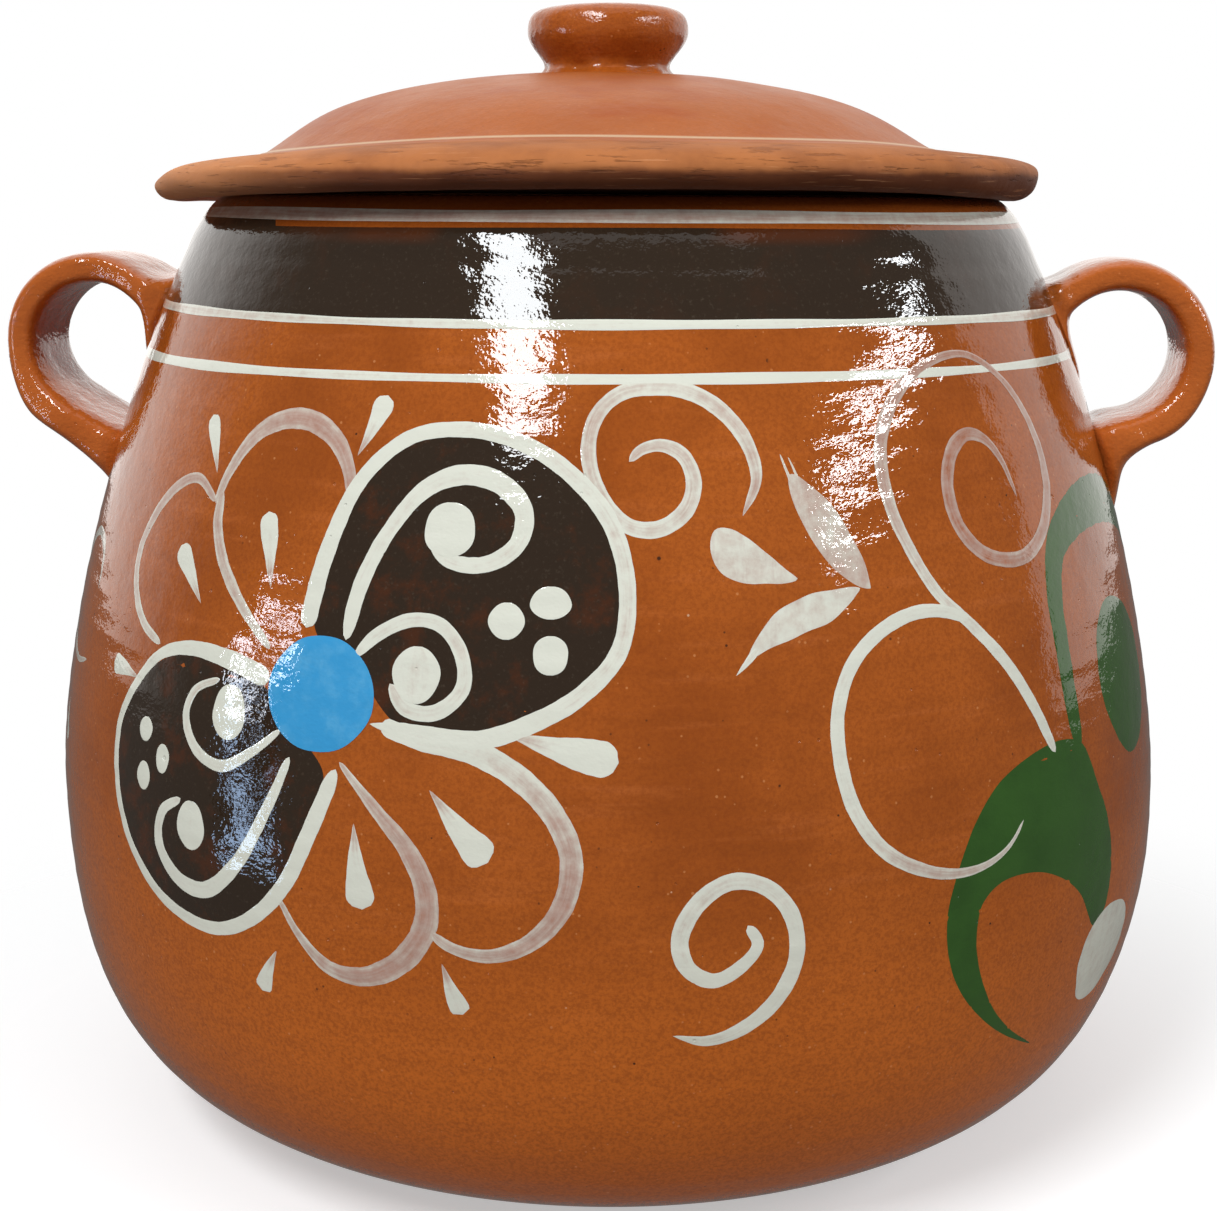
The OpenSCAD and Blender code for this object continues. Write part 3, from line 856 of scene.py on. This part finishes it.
def paint_sprays(white, green, turn):
    """Scrolls, three white leaves and the green spray to the right of the flower."""
    t = lambda *places: turned(places, turn)
    one = lambda d, z: (d + turn, z)
    white.stroke(t(
        (17.8, 160.6), (19.4, 167.6), (18.7, 174.4), (16.4, 180.4), (13.2, 184), (9.6, 184.8),
        (6.3, 183.6), (4.1, 179.6), (3.3, 173.4), (4.3, 165.4), (6.9, 159.2), (9.8, 158.4),
        (12.4, 161.8), (13.3, 167), (12.4, 172), (10.4, 174), (8.4, 173.2), (7.2, 171)),
        [1.0, 2.4, 3.0, 3.2, 3.0, 2.8, 2.8, 2.9, 3.0, 3.2, 3.0, 2.7, 1.6],
        [0.55, 0.65, 0.75, 0.6, 0.75, 0.7, 0.6], ends=(0.0, 0.5))
    white.patch(t(
        (15.0, 158.0), (16.6, 158.3), (18.0, 156.6), (20.0, 153.2), (22.5, 148.6), (22.6, 148.3),
        (22.4, 148.0), (19.0, 147.8), (16.6, 148.6), (15.1, 151.0), (14.6, 154.4)),
        lift=0.03, load=0.75)
    white.patch(t(
        (22.6, 167.8), (23.0, 168.1), (23.8, 167.5), (25.5, 164.7), (27.1, 161.1), (28.4, 156.2),
        (29.4, 151.4), (29.9, 146.2), (29.9, 145.8), (29.5, 145.8), (28.2, 146.7), (26.4, 149.8),
        (24.6, 154.8), (23.1, 161.5)),
        lift=0.03, load=0.62)
    white.stroke(t((23.0, 166), (22.4, 169.4), (22.0, 172)), [0.8, 0.5, 0.3], 0.7, ends=(0.4, 0.0))
    white.stroke(t((23.6, 167), (23.2, 169.4), (22.8, 171.4)), [0.6, 0.4, 0.2], 0.7, ends=(0.4, 0.0))
    white.patch(t(
        (17.6, 134.2), (18.5, 138.0), (20.2, 142.0), (22.7, 144.8), (25.7, 146.0), (28.7, 146.0),
        (28.8, 145.7), (28.6, 145.4), (27.5, 143.0), (25.4, 140.0), (22.4, 137.8), (19.6, 135.6),
        (17.8, 134.0)),
        lift=0.03, load=0.78)
    white.stroke(t((18.6, 136.0), (17.6, 133.6), (16.4, 130.8)), [1.8, 1.2, 0.4], 0.8,
                 ends=(0.4, 0.0))

    # Long scroll, with a second one branching off its stem
    white.stroke(t(
        (50.6, 160), (49.4, 167.4), (47.4, 172.2), (44.6, 173.6), (42.0, 170.4), (40.6, 163.6),
        (41.2, 156), (43.6, 150.4), (47.0, 148), (50.6, 148.4), (54.2, 153), (56.6, 161),
        (56.9, 170), (55.0, 179.4), (51.6, 186), (47.6, 189.4), (43.0, 189), (38.4, 185.6),
        (34.8, 179.4), (33.0, 171.6), (33.1, 162), (34.6, 153), (37.2, 143.6), (41.0, 136),
        (44.6, 128), (47.6, 118.6), (50.4, 107.4)),
        [0.8, 2.0, 3.2, 3.2, 3.0, 3.0, 3.2, 2.8, 2.0, 1.6,
         1.5, 2.0, 2.8, 3.0, 2.7, 2.5, 2.5, 2.8, 2.8, 2.4],
        [0.36, 0.28, 0.33, 0.35, 0.4, 0.28, 0.36, 0.45, 0.75, 0.9, 0.9],
        ends=(0.0, 0.4), base=0.02)
    white.stroke(t(
        (40.6, 137.6), (37.8, 139.8), (34.2, 140.2), (30.4, 137.4), (27.3, 131.8), (25.6, 123.6),
        (25.4, 114.6), (26.6, 103.6), (29.4, 94.8), (33.4, 89.6), (37.2, 87.6), (40.6, 88.2),
        (43.2, 90.8), (45.2, 95.4)),
        [2.4, 2.6, 2.8, 2.8, 2.8, 2.9, 3.0, 2.9, 2.6, 2.0, 1.3, 0.6],
        [0.9, 0.9, 0.9, 0.9, 0.85, 0.6, 0.6, 0.8], ends=(0.4, 0.0), base=0.03)
    white.stroke(t(
        (17.0, 82.6), (17.9, 78.6), (16.6, 74.4), (14.2, 71.6), (12.0, 74.4), (11.3, 80.4),
        (12.8, 87.6), (15.6, 91.6), (18.6, 90), (20.8, 84), (21.3, 75), (19.6, 66.4), (16.8, 61),
        (13.8, 58.8), (10.9, 60.2)),
        [2.0, 2.6, 3.0, 3.3, 3.5, 3.3, 3.1, 3.2, 3.1, 3.3, 3.0, 2.4, 1.2],
        [1.0, 0.95, 0.8, 0.8, 0.95, 0.9, 0.8], ends=(0.8, 0.0))

    # Green spray: tall arch, hanging drop and the big split leaf
    green.stroke(t(
        (54.6, 106), (53.9, 117), (53.7, 128), (53.9, 139), (55.8, 148.5), (60.4, 153.6),
        (67, 155.6), (74, 154), (81, 148.6), (86.6, 139), (89, 127)),
        [4.4, 5.0, 5.4, 6.4, 8.8, 10.4, 10.8, 10.4, 9.4, 7.6, 4.6], 1.0, 0.025)
    green.patch(t(
        (66, 134.5), (71, 132), (74.6, 124), (75, 113), (71.6, 102), (66.6, 99.6), (62.8, 106),
        (60.4, 116), (60.8, 126), (63, 132.4)),
        lift=0.025)
    green.patch(t(
        (51.4, 109.4), (46.2, 108), (42.2, 104.2), (39.4, 98), (37.2, 89), (36.0, 79), (36.6, 69),
        (38.4, 61), (41.6, 53.4), (45.6, 47), (50.6, 41.4), (46.4, 47.6), (43.0, 55), (40.6, 64),
        (39.6, 72), (40.0, 79.6), (42.2, 83.4), (46.6, 83.6), (51, 80), (54.8, 74), (58.4, 64.6),
        (60.6, 68), (61.2, 78), (60, 88), (57.6, 98), (55.2, 107)),
        lift=0.025)
    white.patch(t(
        (57.0, 51.2), (56.4, 56.6), (57.2, 62.2), (59.2, 66.0), (62.0, 67.3), (65.4, 66.0),
        (68.0, 61.8), (68.4, 55.6), (66.4, 49.8), (63.4, 46.2), (60.2, 45.4), (58.0, 47.6)),
        lift=0.03, base=0.03, load=0.85)

    # Strokes that the photograph's edges only start: a loop to each side of the handles
    white.stroke(t(
        (-59.4, 118), (-64, 116.6), (-69.4, 121), (-71.8, 130), (-70, 140), (-65, 145.4),
        (-60.4, 142), (-59.6, 134)),
        [0.8, 1.8, 2.2, 2.4, 2.2, 2.0, 1.0], [0.6, 0.7, 0.8, 0.7, 0.6], ends=(0.0, 0.0))
    white.stroke(t(
        (-74, 108), (-80, 106), (-86, 112), (-88, 122), (-84.6, 131), (-79, 131.4), (-76.6, 125)),
        [0.8, 1.8, 2.4, 2.4, 2.2, 1.8, 1.0], [0.6, 0.7, 0.8, 0.7, 0.6], ends=(0.0, 0.4))
    white.drop(one(-79, 92), one(-74, 100), 5.0)
    white.drop(one(-66, 96), one(-66.6, 106), 5.0)


# Handles

STRAP_T = 7.8
STRAP_W = 30.0
LOOP_R = 18.4
HANDLE_Z = SHOULDER_Z - 22.2
OUT_LEFT, OUT_RIGHT = 14.75, 10.15      # from the wall to the centre of the eye
SAG_LEFT, SAG_RIGHT = 8.5, 3.4
EYE_R = LOOP_R - STRAP_T / 2
BACK_R = LOOP_R + STRAP_T / 2
ROOT_FLARE = 7.0
TAIL = 14.0
TONGUE = 10.0
SINK = 3.0


def make_handle(name, side, out, phase, sag):
    """Pulled strap as a sweep between the outline on its eye's side and the one behind.
    Sag is how far its lower root runs down the wall beyond the round of the loop."""
    def wall(z, sink):
        return np.array([float(pot_r(z)) - sink, z])

    def loop(r, angle, on=0.0):
        """Place on the loop, or that far on along its tangent towards the lower root."""
        a = math.radians(angle)
        way = np.array([math.cos(a), math.sin(a)])
        centre = np.array([float(pot_r(HANDLE_Z)) + out, HANDLE_Z])
        return centre + r * way + on * np.array([way[1], -way[0]])

    def back(angle, on=0.0):
        return loop(BACK_R + 0.27 * sag * math.exp(-((angle + 54) / 26) ** 2), angle, on)

    roots, bends = 26, 92
    leave = mix(-100, -45, sag / 9)
    inner = chain(
        bezier([wall(HANDLE_Z - EYE_R * 0.86 - sag * 1.1, SINK),
                wall(HANDLE_Z - EYE_R * 0.9 - sag, -1),
                loop(EYE_R, leave, 4 + sag * 0.5), loop(EYE_R, leave)], roots),
        np.array([loop(EYE_R, a) for a in np.linspace(leave, 135, bends + 1)]),
        bezier([loop(EYE_R, 135), loop(EYE_R, 135) - [3.5, 3.5], wall(HANDLE_Z - TONGUE * 0.25, -2),
                wall(HANDLE_Z - TONGUE, 1.2)], roots),
    )
    low = max(leave, -66)
    outer = chain(
        bezier([wall(HANDLE_Z - BACK_R - TAIL * 1.15, 1.0),
                wall(HANDLE_Z - BACK_R - TAIL * 0.55, -2.8),
                back(low, 9), back(low)], roots),
        np.array([back(a) for a in np.linspace(low, 125, bends + 1)]),
        bezier([back(125), back(125) - [4.5, 3], wall(HANDLE_Z + BACK_R * 0.75, 1),
                wall(HANDLE_Z + BACK_R * 0.82, SINK)], roots),
    )
    s = np.concatenate([np.linspace(0, 1, roots + 1)[:-1], np.linspace(1, 2, bends + 1)[:-1],
                        np.linspace(2, 3, roots + 1)])
    half = STRAP_W / 2 + ROOT_FLARE / 2 * (
        ease(0, 0.4, s) * (1 - ease(0.8, 1.3, s)) + ease(1.75, 2.15, s) * (1 - ease(2.5, 3, s)))
    half = half * (1 + 0.012 * np.sin(9 * s + phase))
    wrap = np.maximum(1 - ease(0.6, 1.1, s), ease(1.85, 2.2, s))
    sides = 56
    a = 2 * math.pi * (np.arange(sides) + 0.5) / sides
    soften = lambda v: np.sign(v) * np.abs(v) ** 0.5
    across = half[:, None] * soften(np.cos(a))[None, :]
    share = (1 + soften(np.sin(a))[None, :]) / 2
    # Pulled clay: a thickness that wavers along the strap
    pulled = 0.016 * np.sin(5.2 * s + phase)[:, None] + 0.010 * np.sin(13 * s + 2 * phase)[:, None]
    share = share + (share - 0.5) * pulled
    r = inner[:, :1] * (1 - share) + outer[:, :1] * share
    z = inner[:, 1:] * (1 - share) + outer[:, 1:] * share
    twist = 0.35 * np.sin(2.2 * s + phase)[:, None]
    bend = wrap[:, None] * across ** 2 / (2 * pot_r(z))
    points = np.stack([side * (r - bend), across + twist, z], -1).reshape(-1, 3)
    faces = quads(len(s), sides)
    faces += [tuple(range(sides))[::-1], tuple(range((len(s) - 1) * sides, len(s) * sides))]
    if side > 0:
        faces = [f[::-1] for f in faces]
    return make_object(name, points, faces)


# Lid

lid_centre = (lid_box[0].x + lid_box[1].x) / 2 / MM
knob_centre = (knob_box[0].x + knob_box[1].x) / 2 / MM
LID_R = (lid_box[1].x - lid_box[0].x) / 2 / MM
SEAT_Z = LIP_Z + 0.3
FLANGE_W = 25.6
FLANGE_T = 7.8
EDGE_NOSE = 9.0
FLANGE_RISE = 2.8
DOME_R = LID_R - FLANGE_W
DOME_H = 18.8
DOME_T = 6.0
EDGE_Z = SEAT_Z - 1 + FLANGE_T
STEP_Z = EDGE_Z + FLANGE_RISE
DOME_Z = STEP_Z + DOME_H
RING_R = MOUTH_R - 4
RING_T = 6.5
RING_DROP = 9.0
HOLLOW_R = RING_R - RING_T - 0.5
NECK_R = 15.2


def lid_hand(turn, r, z):
    """The lid's unevenness: arched up over the front, drooping and thinner on the left,
    and with a wavering edge."""
    around = np.degrees(turn + math.pi) % 360 - 180
    near = lambda middle, width: np.exp(-((around - middle) / width) ** 2)
    left, right = near(-95, 45), near(88, 42)
    top = ease(SEAT_Z + 1, EDGE_Z - 1, z)
    arch = 1.7 * near(4, 40) + 0.7 * near(46, 22)
    lower = (arch + 0.25 - 0.3 * right - 0.9 * left) * ease(84, 98, r)
    upper = (arch + 0.25 + 0.8 * right + 0.6 * left) * ease(40, 84, r) - 2.6 * left * ease(62, 94, r)
    dz = mix(lower, upper, top) - 0.05
    dz = dz + 0.10 * np.sin(5 * turn + r / 9) * ease(10, 40, r)
    tip = ease(LID_R - 7, LID_R, r)
    dz = dz + tip * (0.14 * np.sin(23 * turn + 2 * np.sin(3 * turn)) - 0.5 * left)
    slant = ease(EDGE_Z, SEAT_Z - 1, z) * ease(LID_R - 12, LID_R - 3, r) * (0.4 * left + 2.3 * right)
    dr = ease(62, LID_R, r) * (-0.2 + 0.16 * np.sin(3 * turn + 1))
    dr = dr + tip * 0.08 * np.sin(17 * turn + z) - slant
    return dr, dz


def make_lid():
    low_z, tip_z = SEAT_Z - 1, SEAT_Z - 1 + FLANGE_T * 0.46
    nose_rise = FLANGE_RISE * EDGE_NOSE / FLANGE_W
    edge = bezier([(LID_R - EDGE_NOSE * 0.5, low_z), (LID_R - EDGE_NOSE * 0.22, low_z),
                   (LID_R, mix(low_z, tip_z, 0.4)), (LID_R, tip_z)], 16)
    nose = bezier([(LID_R, tip_z), (LID_R, mix(tip_z, EDGE_Z, 0.7)),
                   (LID_R - EDGE_NOSE * 0.4, EDGE_Z + nose_rise * 0.4),
                   (LID_R - EDGE_NOSE, EDGE_Z + nose_rise)], 22)
    slope = np.linspace((LID_R - EDGE_NOSE, EDGE_Z + nose_rise), (DOME_R + 1.6, STEP_Z - 0.4), 20)
    step = np.array([(DOME_R + 1.6, STEP_Z - 0.4), (DOME_R + 0.8, STEP_Z + 0.05),
                     (DOME_R, STEP_Z + 0.1)])
    dome = bezier([(DOME_R, STEP_Z), (DOME_R - 11, STEP_Z + DOME_H * 0.28),
                   (DOME_R - 21, STEP_Z + DOME_H * 1.03), (0, DOME_Z)], 80)
    dome[0] = step[-1]
    hollow = bezier([(HOLLOW_R, SEAT_Z), (HOLLOW_R - 4.5, STEP_Z - 2.6),
                     (DOME_R - 21, STEP_Z + DOME_H * 1.03 - DOME_T), (0, DOME_Z - DOME_T)], 40)
    seat = np.linspace((HOLLOW_R, SEAT_Z), (LIP_MID_R + 3, SEAT_Z), 12)
    under = np.linspace((LIP_MID_R + 3, SEAT_Z), (LID_R - EDGE_NOSE * 0.5, low_z), 8)
    outline = chain(hollow[::-1], seat, under, edge, nose, slope, step, dome)
    return revolve("lid_cover", outline, 360, lid_hand, lid_centre)


def make_lid_ring():
    top = np.array([(RING_R, SEAT_Z + 0.6), (RING_R, SEAT_Z - RING_DROP * 0.6)])
    curl = bezier([(RING_R, SEAT_Z - RING_DROP * 0.6), (RING_R, SEAT_Z - RING_DROP * 1.13),
                   (RING_R - RING_T, SEAT_Z - RING_DROP * 1.13),
                   (RING_R - RING_T, SEAT_Z - RING_DROP * 0.6)], 20)
    back = np.array([(RING_R - RING_T, SEAT_Z - RING_DROP * 0.6), (RING_R - RING_T, SEAT_Z + 0.6)])

    def shift(turn, r, z):
        return 0.2 * np.sin(6 * turn + z) - 0.2, 0.1 * np.sin(4 * turn) * ease(SEAT_Z, SEAT_Z - 3, z)

    return revolve("lid_locating_ring", chain(top, curl, back)[::-1], 240, shift, lid_centre)


def make_knob():
    knob_h = knob_box[1].z / MM - DOME_Z
    neck, wide = NECK_R, (knob_box[1].x - knob_box[0].x) / 2 / MM
    swell = DOME_Z + knob_h * 0.64
    top = DOME_Z + knob_h
    outline = chain(
        bezier([(neck + 2.6, DOME_Z - 1.6), (neck + 1.4, DOME_Z + 0.1), (neck + 0.1, DOME_Z + 0.3),
                (neck, DOME_Z + knob_h * 0.1)], 14),
        bezier([(neck, DOME_Z + knob_h * 0.1), (neck + 0.5, DOME_Z + knob_h * 0.26),
                (wide, swell - knob_h * 0.22), (wide, swell)], 26),
        bezier([(wide, swell), (wide, top - knob_h * 0.03), (wide * 0.85, top + 0.1),
                (wide * 0.5, top)], 26),
        bezier([(wide * 0.5, top), (wide * 0.4, top), (wide * 0.25, top - 0.6), (0, top - 0.6)], 12),
    )

    def shift(turn, r, z):
        foot = 1 - ease(DOME_Z - 0.5, DOME_Z + knob_h * 0.22, z)
        lumps = foot * (0.5 * np.sin(7 * turn + 1) + 0.35 * np.sin(13 * turn + 3) + 0.1)
        sway = -0.25 + 0.16 * np.sin(2 * turn + 0.5) + 0.09 * np.sin(5 * turn + z / 3)
        dip = -0.25 + 0.16 * np.sin(2 * turn + 1) * ease(4, wide, r)
        return (sway + lumps) * ease(1, 8, r), dip * ease(DOME_Z + 4, top, z)

    return revolve("lid_button", outline, 200, shift, knob_centre)


def lid_material():
    """Glazed dome and bare, scratched flange edge on the same clay."""
    s = Shader("lid_clay")
    z = s.height()
    x = s.math("SUBTRACT", s.axis("X"), lid_centre * MM)
    y = s.axis("Y")
    r = s.math("SQRT", s.math("ADD", s.times(x, x), s.times(y, y)))
    r = s.times(r, 1 / MM)
    ragged = s.math("MULTIPLY_ADD", s.noise(9, 4, 0.6, seed=5.0), 7.0, -3.5)
    edge = s.step(s.math("ADD", r, ragged), DOME_R + 3, DOME_R + 9)
    under = s.step(z, SEAT_Z + 0.4, SEAT_Z - 0.2)
    bare = s.math("MAXIMUM", edge, under)
    # Painted shade: the dome's clay is darkened, offsetting the strong light that falls on its top
    clay = s.blend(0.6, clay_colour(s), DOME_CLAY_SHADED)
    brushed = s.step(s.noise(13, 4, 0.6, stretch=(2.5, 2.5, 0.4), seed=8.6), 0.45, 0.68)
    clay = s.blend(s.times(brushed, 0.8), clay, DOME_BRUSHED)
    clouds = s.step(s.noise(16, 5, 0.62, seed=1.9), 0.35, 0.7)
    dry = s.blend(s.times(clouds, 0.6), BARE, BARE_DARK)
    # Painted shade: the lower half of the flange's edge is darkened, most on the right, away from the
    # light
    wander = s.math("MULTIPLY_ADD", s.noise(13, 3, 0.6, seed=7.3), 2.4, -1.2)
    flange_low_shade = s.step(s.math("ADD", z, wander), EDGE_Z - 1.4, EDGE_Z - 3.2)
    shade_rightwards = s.math("MULTIPLY_ADD", s.step(x, -0.09, -0.03), 0.65, 0.25)
    # Painted light: the left of the bare flange is lightened, where the light from the left falls on
    # it
    dry = s.blend(s.times(s.step(x, -0.03, -0.10), 0.7), dry, FLANGE_LEFT_LIT)
    dry = s.blend(s.times(flange_low_shade, shade_rightwards), dry, FLANGE_SHADE)
    crack = s.step(s.noise(4, 4, 0.7, stretch=(3, 3, 0.22), seed=3.4), 0.57, 0.64)
    dry = s.blend(s.times(crack, 0.4), dry, CRACK)
    scratch = s.step(s.noise(5, 4, 0.7, stretch=(4, 4, 0.12), seed=13.4), 0.60, 0.72)
    dry = s.blend(s.times(scratch, 0.5), dry, SCRATCHED)
    grit = s.spots(2.6, 0.22, seed=4.4)
    dry = s.blend(s.times(grit, 0.6), dry, SOOT)
    tint = s.blend(bare, clay, dry)
    # Painted highlight: a pale line round the crest where the flange meets the dome
    painted_crest = s.times(s.step(r, DOME_R - 1.2, DOME_R - 0.3), s.step(r, DOME_R + 1.4, DOME_R + 0.6))
    tint = s.blend(s.times(painted_crest, 0.75), tint, CREST_HIGHLIGHT)
    s.colour(tint)
    rough = s.math("MULTIPLY_ADD", s.noise(14, 4, seed=5.5), 0.3, 0.26)
    s.gloss(s.math("MULTIPLY_ADD", bare, 0.25, rough), 0.2)
    s.relief(
        (s.noise(6.5, 2, 0.5, seed=9.1), 0.32),
        (s.noise(1.5, 4, 0.7, seed=6.4), 0.12),
        (s.times(s.times(crack, bare), -1.0), 0.15),
    )
    return s.material


# Studio

AMBIENT = 0.26          # strength of the world's light on the pot; seen directly it is white
FLOOR_R = 300.0
FLOOR_Z = -0.2          # the floor lies just under the foot
FLOOR_WHITE = (0.72, 0.72, 0.72, 1)
FLOOR_BOUNCE = (0.46, 0.43, 0.40, 1)
FLOOR_LIFT = 0.45       # evens the floor's white out, for the background's rays only
WALL_R = 2300.0
WALL_TOP = 2400.0
WALL_GLOW = 0.15        # the dim walls, where 1 is white
WHITE_LEFT = (math.radians(-84), math.radians(-122))    # the left wall turns white between these
WHITE_RIGHT = (math.radians(104), math.radians(106))
LEFT_GLOW = 1.2
CARD_TURN = -58.1       # degrees round from the front
CARD_FAR = 439.0
CARD_W, CARD_H = 90.0, 205.0
CARD_Z = 99.0
CARD_GLOW = 11.0
CARD_BLUE = (0.48, 0.68, 1.0, 1)
CARD_WHITE = (0.85, 0.9, 1.0, 1)
WALL_WHITE = (1, 0.97, 0.94, 1)
WINDOW_WHITE = (0.94, 0.975, 1.0)
LAMP_AIM_Z = 120.0      # height on the pot that the lamps turn about


def seen_rays(tree):
    """1 for rays that show the background itself: camera, mirror and glass rays."""
    rays = tree.nodes.new("ShaderNodeLightPath")
    seen = rays.outputs["Is Camera Ray"]
    for kind in ("Is Glossy Ray", "Is Transmission Ray"):
        either = tree.nodes.new("ShaderNodeMath")
        either.operation = "MAXIMUM"
        tree.links.new(seen, either.inputs[0])
        tree.links.new(rays.outputs[kind], either.inputs[1])
        seen = either.outputs["Value"]
    return seen


def make_floor():
    """White floor that keeps the pot's shadow and fades into the white world."""
    s = Shader("floor_white")
    seen = seen_rays(s.tree)
    s.colour(s.blend(seen, FLOOR_BOUNCE, FLOOR_WHITE))
    s.gloss(0.9, 0.0)
    s.surface.inputs["Emission Color"].default_value = (1, 1, 1, 1)
    s.put(s.surface.inputs["Emission Strength"], s.times(seen, FLOOR_LIFT))
    away = s.node("ShaderNodeVectorMath", {0: s.place}, operation="LENGTH")
    fade = s.step(away.outputs["Value"], FLOOR_R * MM, FLOOR_R * 0.4 * MM)
    s.put(s.surface.inputs["Alpha"], fade)
    turn = np.linspace(0, 2 * math.pi, 64, endpoint=False)
    rim = [(FLOOR_R * math.cos(a), FLOOR_R * math.sin(a), FLOOR_Z) for a in turn]
    floor = make_object("floor", rim, [tuple(range(64))])
    floor.data.materials.append(s.material)


def reflected_only(piece):
    piece.visible_camera = piece.visible_diffuse = piece.visible_shadow = False
    piece.visible_transmission = False


def glow_by(s, colour, strength):
    """Turns the shader into a lamp of the given colour and strength."""
    glow = s.node("ShaderNodeEmission", {"Color": colour, "Strength": strength})
    s.tree.nodes.remove(s.surface)
    s.tree.links.new(glow.outputs[0], s.tree.nodes["Material Output"].inputs["Surface"])


def make_surround():
    """Walls, ceiling and table that only reflections see: dim round the camera, white
    behind the pot."""
    s = Shader("studio_walls")
    turn = s.math("ARCTAN2", s.axis("X"), s.times(s.axis("Y"), -1.0))
    left = s.times(s.step(turn, *WHITE_LEFT), LEFT_GLOW)
    white = s.math("MAXIMUM", left, s.step(turn, *WHITE_RIGHT))
    white = s.times(white, s.step(s.axis("Z"), 0.0, 0.01))
    glow_by(s, WALL_WHITE, s.math("ADD", white, WALL_GLOW))
    steps = 96
    around = np.linspace(0, 2 * math.pi, steps, endpoint=False)
    ring = np.stack([WALL_R * np.sin(around), -WALL_R * np.cos(around), 0 * around], 1)
    points = np.vstack([ring + [0, 0, -300], ring + [0, 0, WALL_TOP], ring + [0, 0, FLOOR_Z / 2]])
    faces = [(i, (i + 1) % steps, steps + (i + 1) % steps, steps + i) for i in range(steps)]
    faces += [tuple(range(steps, 2 * steps)), tuple(range(2 * steps, 3 * steps))]
    walls = make_object("studio_walls", points, faces)
    walls.data.materials.append(s.material)
    reflected_only(walls)


def make_bright_card():
    """Bluish window light, broken by leaves, that shows in the glaze beside the eye."""
    s = Shader("bright_card")
    leaves = s.step(s.noise(32, 2, 0.6, seed=4.6), 0.49, 0.52)
    high = s.step(s.axis("Z"), 0.115, 0.15)
    sky = s.blend(high, CARD_BLUE, CARD_WHITE)
    glow_by(s, sky, s.times(leaves, s.math("MULTIPLY_ADD", high, CARD_GLOW, CARD_GLOW)))
    turn = math.radians(CARD_TURN)
    out = np.array([math.sin(turn), -math.cos(turn), 0])
    side = np.array([math.cos(turn), math.sin(turn), 0])
    corners = [out * CARD_FAR + side * dx + [0, 0, CARD_Z + dz]
               for dx, dz in ((-CARD_W / 2, -CARD_H / 2), (CARD_W / 2, -CARD_H / 2),
                              (CARD_W / 2, CARD_H / 2), (-CARD_W / 2, CARD_H / 2))]
    card = make_object("bright_card", corners, [(0, 1, 2, 3)])
    card.data.materials.append(s.material)
    reflected_only(card)


def area_light(name, turn, rise, distance, width, height, glow, colour, tilt):
    """Rectangular lamp of an even glow, at turn degrees round from the camera's side and
    rise degrees up, as seen from the middle of the pot. Tilt turns it in its own plane."""
    data = bpy.data.lights.new(name, "AREA")
    data.shape = "RECTANGLE"
    data.size = width * MM
    data.size_y = height * MM
    data.energy = glow * math.pi * width * height * MM ** 2
    data.color = colour
    lamp = bpy.data.objects.new(name, data)
    bpy.context.scene.collection.objects.link(lamp)
    a, e = math.radians(CAMERA_TURN + turn), math.radians(rise)
    way = np.array([math.sin(a) * math.cos(e), -math.cos(a) * math.cos(e), math.sin(e)])
    lamp.location = [v * MM for v in way * distance + [0, 0, LAMP_AIM_Z]]
    lamp.rotation_euler = (math.radians(90) - e, 0, a)
    lamp.rotation_euler.rotate_axis("Z", math.radians(tilt))
    lamp.visible_camera = False


def light_world():
    world = bpy.data.worlds.new("studio")
    bpy.context.scene.world = world
    world.use_nodes = True
    tree = world.node_tree
    strength = tree.nodes.new("ShaderNodeMapRange")
    tree.links.new(seen_rays(tree), strength.inputs["Value"])
    strength.inputs["To Min"].default_value = AMBIENT
    strength.inputs["To Max"].default_value = 1.0
    background = tree.nodes["Background"]
    tree.links.new(strength.outputs["Result"], background.inputs["Strength"])
    background.inputs["Color"].default_value = (1, 1, 1, 1)


LAMPS = [
    # name, degrees round and up, distance, width, height, glow, colour and tilt
    ("window_left", -27, 44, 1500, 250, 740, 27, WINDOW_WHITE, 34),
    ("window_right", 67.5, 27.7, 1500, 1000, 80, 27, WINDOW_WHITE, 13.5),
    ("overhead", 10, 78, 1300, 1200, 1200, 0.7, (1, 1, 1), 0),
]


def light_studio():
    light_world()
    for lamp in LAMPS:
        area_light(*lamp)


bpy.context.scene.view_settings.view_transform = "Standard"
aim_camera()
finish_piece(make_pot(), "olla", "glazed_clay", glazed_clay("pot_glaze", foot=True), "pot")

white_paint, black_paint, green_paint, blue_paint = Paint(3), Paint(5), Paint(7), Paint(9)
paint_rings(white_paint, black_paint)
for turn in (0, 180):
    paint_flower(white_paint, black_paint, blue_paint, turn)
    paint_sprays(white_paint, green_paint, turn)
black_paint.build("slip_black", "black_slip", dark_slip("black_slip"))
green_paint.build("slip_green", "green_slip", even_slip("green_slip", GREEN, GREEN_DARK, 18, 0.5))
white_paint.build("slip_white", "white_slip", slip("white_slip", WHITE, WHITE_THIN))
blue_paint.build("slip_blue", "blue_slip", even_slip("blue_slip", BLUE, BLUE_PALE, 6, 0.4))

# The straps' clay is painted lighter, standing for the light from the left on the handles
strap = glazed_clay("strap_glaze", ripple=0.16, painted_lift=0.45)
finish_piece(make_handle("strap_left", -1, OUT_LEFT, 0.4, SAG_LEFT), "olla", "handle_clay", strap,
             "handle_left")
finish_piece(make_handle("strap_right", 1, OUT_RIGHT, 2.1, SAG_RIGHT), "olla", "handle_clay", strap,
             "handle_right")

finish_piece(make_lid(), "lid", "lid_clay", lid_material(), "lid")
finish_piece(make_lid_ring(), "lid", "bare_clay", bare_clay("ring_clay"), "lid_ring")
button = glazed_clay("knob_glaze", ripple=0.12, low=0.1, high=0.3)
finish_piece(make_knob(), "lid", "knob_clay", button, "lid_knob")

make_floor()
make_surround()
make_bright_card()
light_studio()
